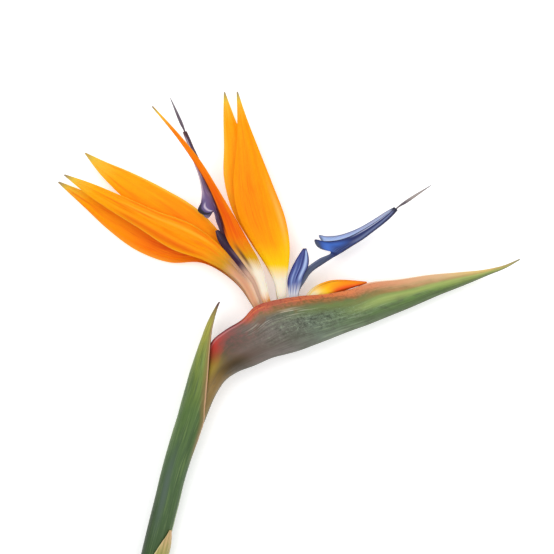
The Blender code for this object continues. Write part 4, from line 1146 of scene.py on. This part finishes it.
def spathe_margin(s, place, share, part, drift, fine, fleck, crack, cloud):
    """The red margin, which frays, narrows and fades to pink along its edge, and its lips; painted
    highlight lines along the top edge, and painted shade along the keel.
    """
    colour = part.ramp([
        (0.2, (200, 66, 50)), (0.25, (200, 62, 54)), (0.31, (140, 84, 82)),
        (0.355, (192, 74, 46)), (0.42, (178, 88, 62)), (0.54, (214, 112, 56)),
        (0.66, (220, 148, 108)), (0.8, (224, 182, 136)), (0.92, (222, 194, 112)),
        (1.0, (140, 120, 96)),
    ])
    depth = part.ramp([(0.2, 0.3), (0.26, 0.16), (0.32, 0.08), (0.38, 0.12), (0.53, 0.12),
                       (0.7, 0.25), (0.95, 0.34)])
    frayed = drift + (fine - 0.5) * 0.08 + (cloud - 0.5) * 0.2
    under = frayed / s.math("MAXIMUM", depth, 0.01)
    tan = place.band(72.0, 90.0) * place.band(150.0, 128.0)
    s.lay(tan * 0.8 * frayed.stripe(0.16, 0.13), (142, 108, 58))
    s.lay(place.band(42.0, 56.0) * under.band(1.8, 0.4), colour)
    lip = place.band(70.0, 80.0) * place.band(165.0, 110.0)
    s.lay(lip * under.stripe(1.2, 0.7) * fleck.band(0.56, 0.44, 0.8), (116, 92, 44))
    s.lay(lip * under.band(1.1, 0.3) * fine.band(0.52, 0.4, 0.6), (228, 132, 66))
    s.lay(lip * under.band(1.2, 0.6) * crack.band(0.52, 0.62, 0.6), (150, 50, 36))
    bend = place.band(50.0, 56.0) * place.band(84.0, 68.0)
    s.lay(bend * share.band(0.03, 0.012), (104, 24, 40))
    # painted highlight: a pink line under the top edge at the bend
    s.lay(bend * share.stripe(0.046, 0.02) * 0.5, (214, 150, 152))
    # painted highlight: a white line along the top edge
    s.lay(place.band(135.0, 150.0) * share.band(0.04, 0.01), (246, 230, 206))
    # painted shade along the keel
    s.lay(share.band(0.93, 1.0, 0.6), (64, 70, 44))


def spathe_surface():
    """The bract: red where it leaves the stem, grey and scuffed, then green to a dry tip.

    place runs along it in millimetres, and share from its top edge, 0, to its keel, 1.
    """
    s = Surface("spathe", Specular_IOR_Level=0.35)
    place, share = s.read("along_mm"), s.read("share")
    part = place * (1 / SPATHE_LENGTH)
    side = s.read("far") * 7.0
    fine = s.noise(share * 30.0, place * 0.05, side, detail=4.0)
    broad = s.noise(share * 4.0, place * 0.05, side, seed=3.0)
    fleck = s.noise(share * 17.0, place * 0.42, side, detail=8.0, rough=0.66, seed=6.0)
    crack = s.noise(share * 24.0, place * 0.8, side, detail=5.0, seed=7.0)
    cloud = s.noise(share * 5.0, place * 0.14, side, detail=5.0, seed=9.0)
    drift = share + (broad - 0.5) * 0.12
    scuffed = place.stripe(108.0, 52.0) * share.stripe(0.5, 0.42)
    spathe_ground(s, place, share, part, fine, broad, cloud)
    spathe_wear(s, place, share, scuffed, fine, fleck, crack, cloud)
    spathe_greens(s, place, drift)
    spathe_margin(s, place, share, part, drift, fine, fleck, crack, cloud)
    s.lay(s.read("inside"), (206, 186, 130))
    s.raise_by(fine * 0.24)
    s.raise_by(scuffed * (fleck * 0.5))
    return s.finish(cloud.band(0.35, 0.7, 0.56, start=0.4))


def sheath_upper_features(s, along, turn, fine):
    """Painted highlight lines along both sides, blue-grey along its middle, and a pink and tan free
    margin with painted shade in brown beside it.
    """
    right = s.read("from_right")
    margin = abs(s.read("across") - 0.5)
    reach = along.band(0.42, 0.54) * along.band(0.97, 0.88)
    # painted shade in brown beside the free margin
    s.lay(reach * margin.band(0.38, 0.46, 0.7), (134, 108, 58))
    s.lay(reach * margin.band(0.465, 0.49, 0.85), (206, 162, 124))
    s.lay(along.stripe(0.34, 0.24) * right.stripe(-0.35, 0.5), (78, 96, 82))
    s.lay(along.band(0.5, 0.2) * right.band(-0.3, -0.95), (40, 62, 30))
    # painted highlight along the right side
    s.lay(along.band(0.42, 0.3) * right.band(0.92, 0.99), (146, 168, 112))
    # painted highlight along the left side
    s.lay(along.band(0.1, 0.4) * right.band(-0.965, -0.998), (160, 180, 124))
    s.lay(along.band(0.972, 0.995), (92, 58, 58))


def sheath_lower_features(s, along, turn, fine):
    """Straw-coloured margins and a dry pinkish tip."""
    margin = abs(s.read("across") - 0.5)
    s.lay(margin.band(0.44, 0.49, 0.8), (222, 206, 150))
    s.lay(along.band(0.7, 1.0) * fine.band(0.6, 0.4, 0.8), (222, 176, 140))


def scape_features(s, along, turn, fine):
    """Across the cut: a green rind, pale wet flesh, and the ends of its vessels."""
    cut = s.read("cut")
    flesh = cut.band(0.06, 0.16)
    s.lay(flesh, (206, 212, 160))
    s.lay(flesh * cut.band(0.4, 0.9, 0.6), (226, 226, 186))
    vessel = s.noise(s.read("cut_x") * 9.0, s.read("cut_y") * 9.0, detail=1.0, seed=12.0)
    s.lay(cut.band(0.1, 0.2) * vessel.band(0.6, 0.66, 0.8), (128, 132, 74))
    s.lay(cut.stripe(0.07, 0.04), (96, 118, 58))


def add_stem():
    """The scape, cut across at its lower end, and the two bracts that sheathe it."""
    scape = stem_surface(
        "scape",
        [(0.0, (120, 134, 66)), (0.5, (96, 124, 62)), (0.98, (100, 124, 66)),
         (0.992, (150, 160, 100)), (1.0, (196, 196, 140))],
        (58, 80, 36), (148, 170, 104), "across", 22.0, 4.0, scape_features)
    upper = stem_surface(
        "sheath_upper",
        [(0.0, (50, 76, 36)), (0.4, (70, 98, 54)), (0.62, (82, 110, 52)), (0.8, (126, 142, 54)),
         (0.92, (172, 164, 64)), (0.97, (150, 124, 66)), (1.0, (90, 56, 56))],
        (54, 80, 40), (116, 140, 78), "around_mm", 1.3, 5.0, sheath_upper_features)
    lower = stem_surface(
        "sheath_lower",
        [(0.0, (84, 108, 50)), (0.35, (116, 132, 62)), (0.65, (150, 152, 76)),
         (1.0, (198, 168, 104))],
        (116, 124, 58), (184, 182, 108), "around_mm", 1.3, 6.0, sheath_lower_features)
    rows = [(*row, row[3]) for row in SCAPE]
    add_body("scape", rows, 90, 72, scape, cut=SCAPE_CUT)
    add_sheath("sheath_upper", SHEATH_UPPER, 200, 0.7, 34, 30, upper)
    add_sheath("sheath_lower", SHEATH_LOWER, 90, 0.9, 30, 24, lower)


# ---------------------------------------------------------------- the studio

def add_floor():
    """A pale table top, a hair under the flower."""
    r = FLOOR_REACH
    mesh = bpy.data.meshes.new("floor")
    mesh.from_pydata([(-r, -r, 0), (r, -r, 0), (r, r, 0), (-r, r, 0)], [], [(0, 1, 2, 3)])
    s = Surface("floor", Roughness=0.75, Specular_IOR_Level=0.2, Emission_Color=WHITE,
                Emission_Strength=FLOOR_GLOW)
    where = Value(s, s.node("ShaderNodeTexCoord", {}).outputs["Object"])
    grain = s.node("ShaderNodeTexNoise", {"Vector": where, "Scale": 6.0, "Detail": 2.0})
    s.colour = linear((252, 252, 252))
    s.lay(Value(s, grain.outputs["Fac"]).band(0.35, 0.7, 0.5), (248, 248, 250))
    mesh.materials.append(s.finish())
    floor = bpy.data.objects.new("floor", mesh)
    floor.location.z = FLOOR_HEIGHT
    bpy.context.scene.collection.objects.link(floor)


def add_light(name, place, size, power):
    """A soft round light that points at the flower."""
    light = bpy.data.lights.new(name, "AREA")
    light.shape = "DISK"
    light.size = size
    light.energy = power
    lamp = bpy.data.objects.new(name, light)
    lamp.location = place
    lamp.rotation_euler = (Vector(CENTRE) - Vector(place)).to_track_quat("-Z", "Y").to_euler()
    bpy.context.scene.collection.objects.link(lamp)


def add_studio():
    """A white table, white surroundings, two soft lights, and the camera straight above."""
    add_floor()
    add_light("key", (-0.6, 0.7, 1.5), 1.4, 13)
    add_light("fill", (0.8, -0.5, 1.4), 1.5, 8)
    world = bpy.data.worlds.new("studio")
    world.use_nodes = True
    background = world.node_tree.nodes["Background"]
    background.inputs["Color"].default_value = WHITE
    background.inputs["Strength"].default_value = SURROUND_STRENGTH
    bpy.context.scene.world = world
    camera = bpy.data.cameras.new("camera")
    camera.lens = LENS
    camera.sensor_width = SENSOR
    eye = bpy.data.objects.new("camera", camera)
    eye.location = (CENTRE[0], CENTRE[1], CENTRE[2] + VIEW_SIDE * LENS / SENSOR)
    bpy.context.scene.collection.objects.link(eye)
    bpy.context.scene.camera = eye
    bpy.context.scene.view_settings.view_transform = "Standard"


add_sepals()
add_petals()
add_centres()
add_spathe(spathe_surface())
add_stem()
add_studio()
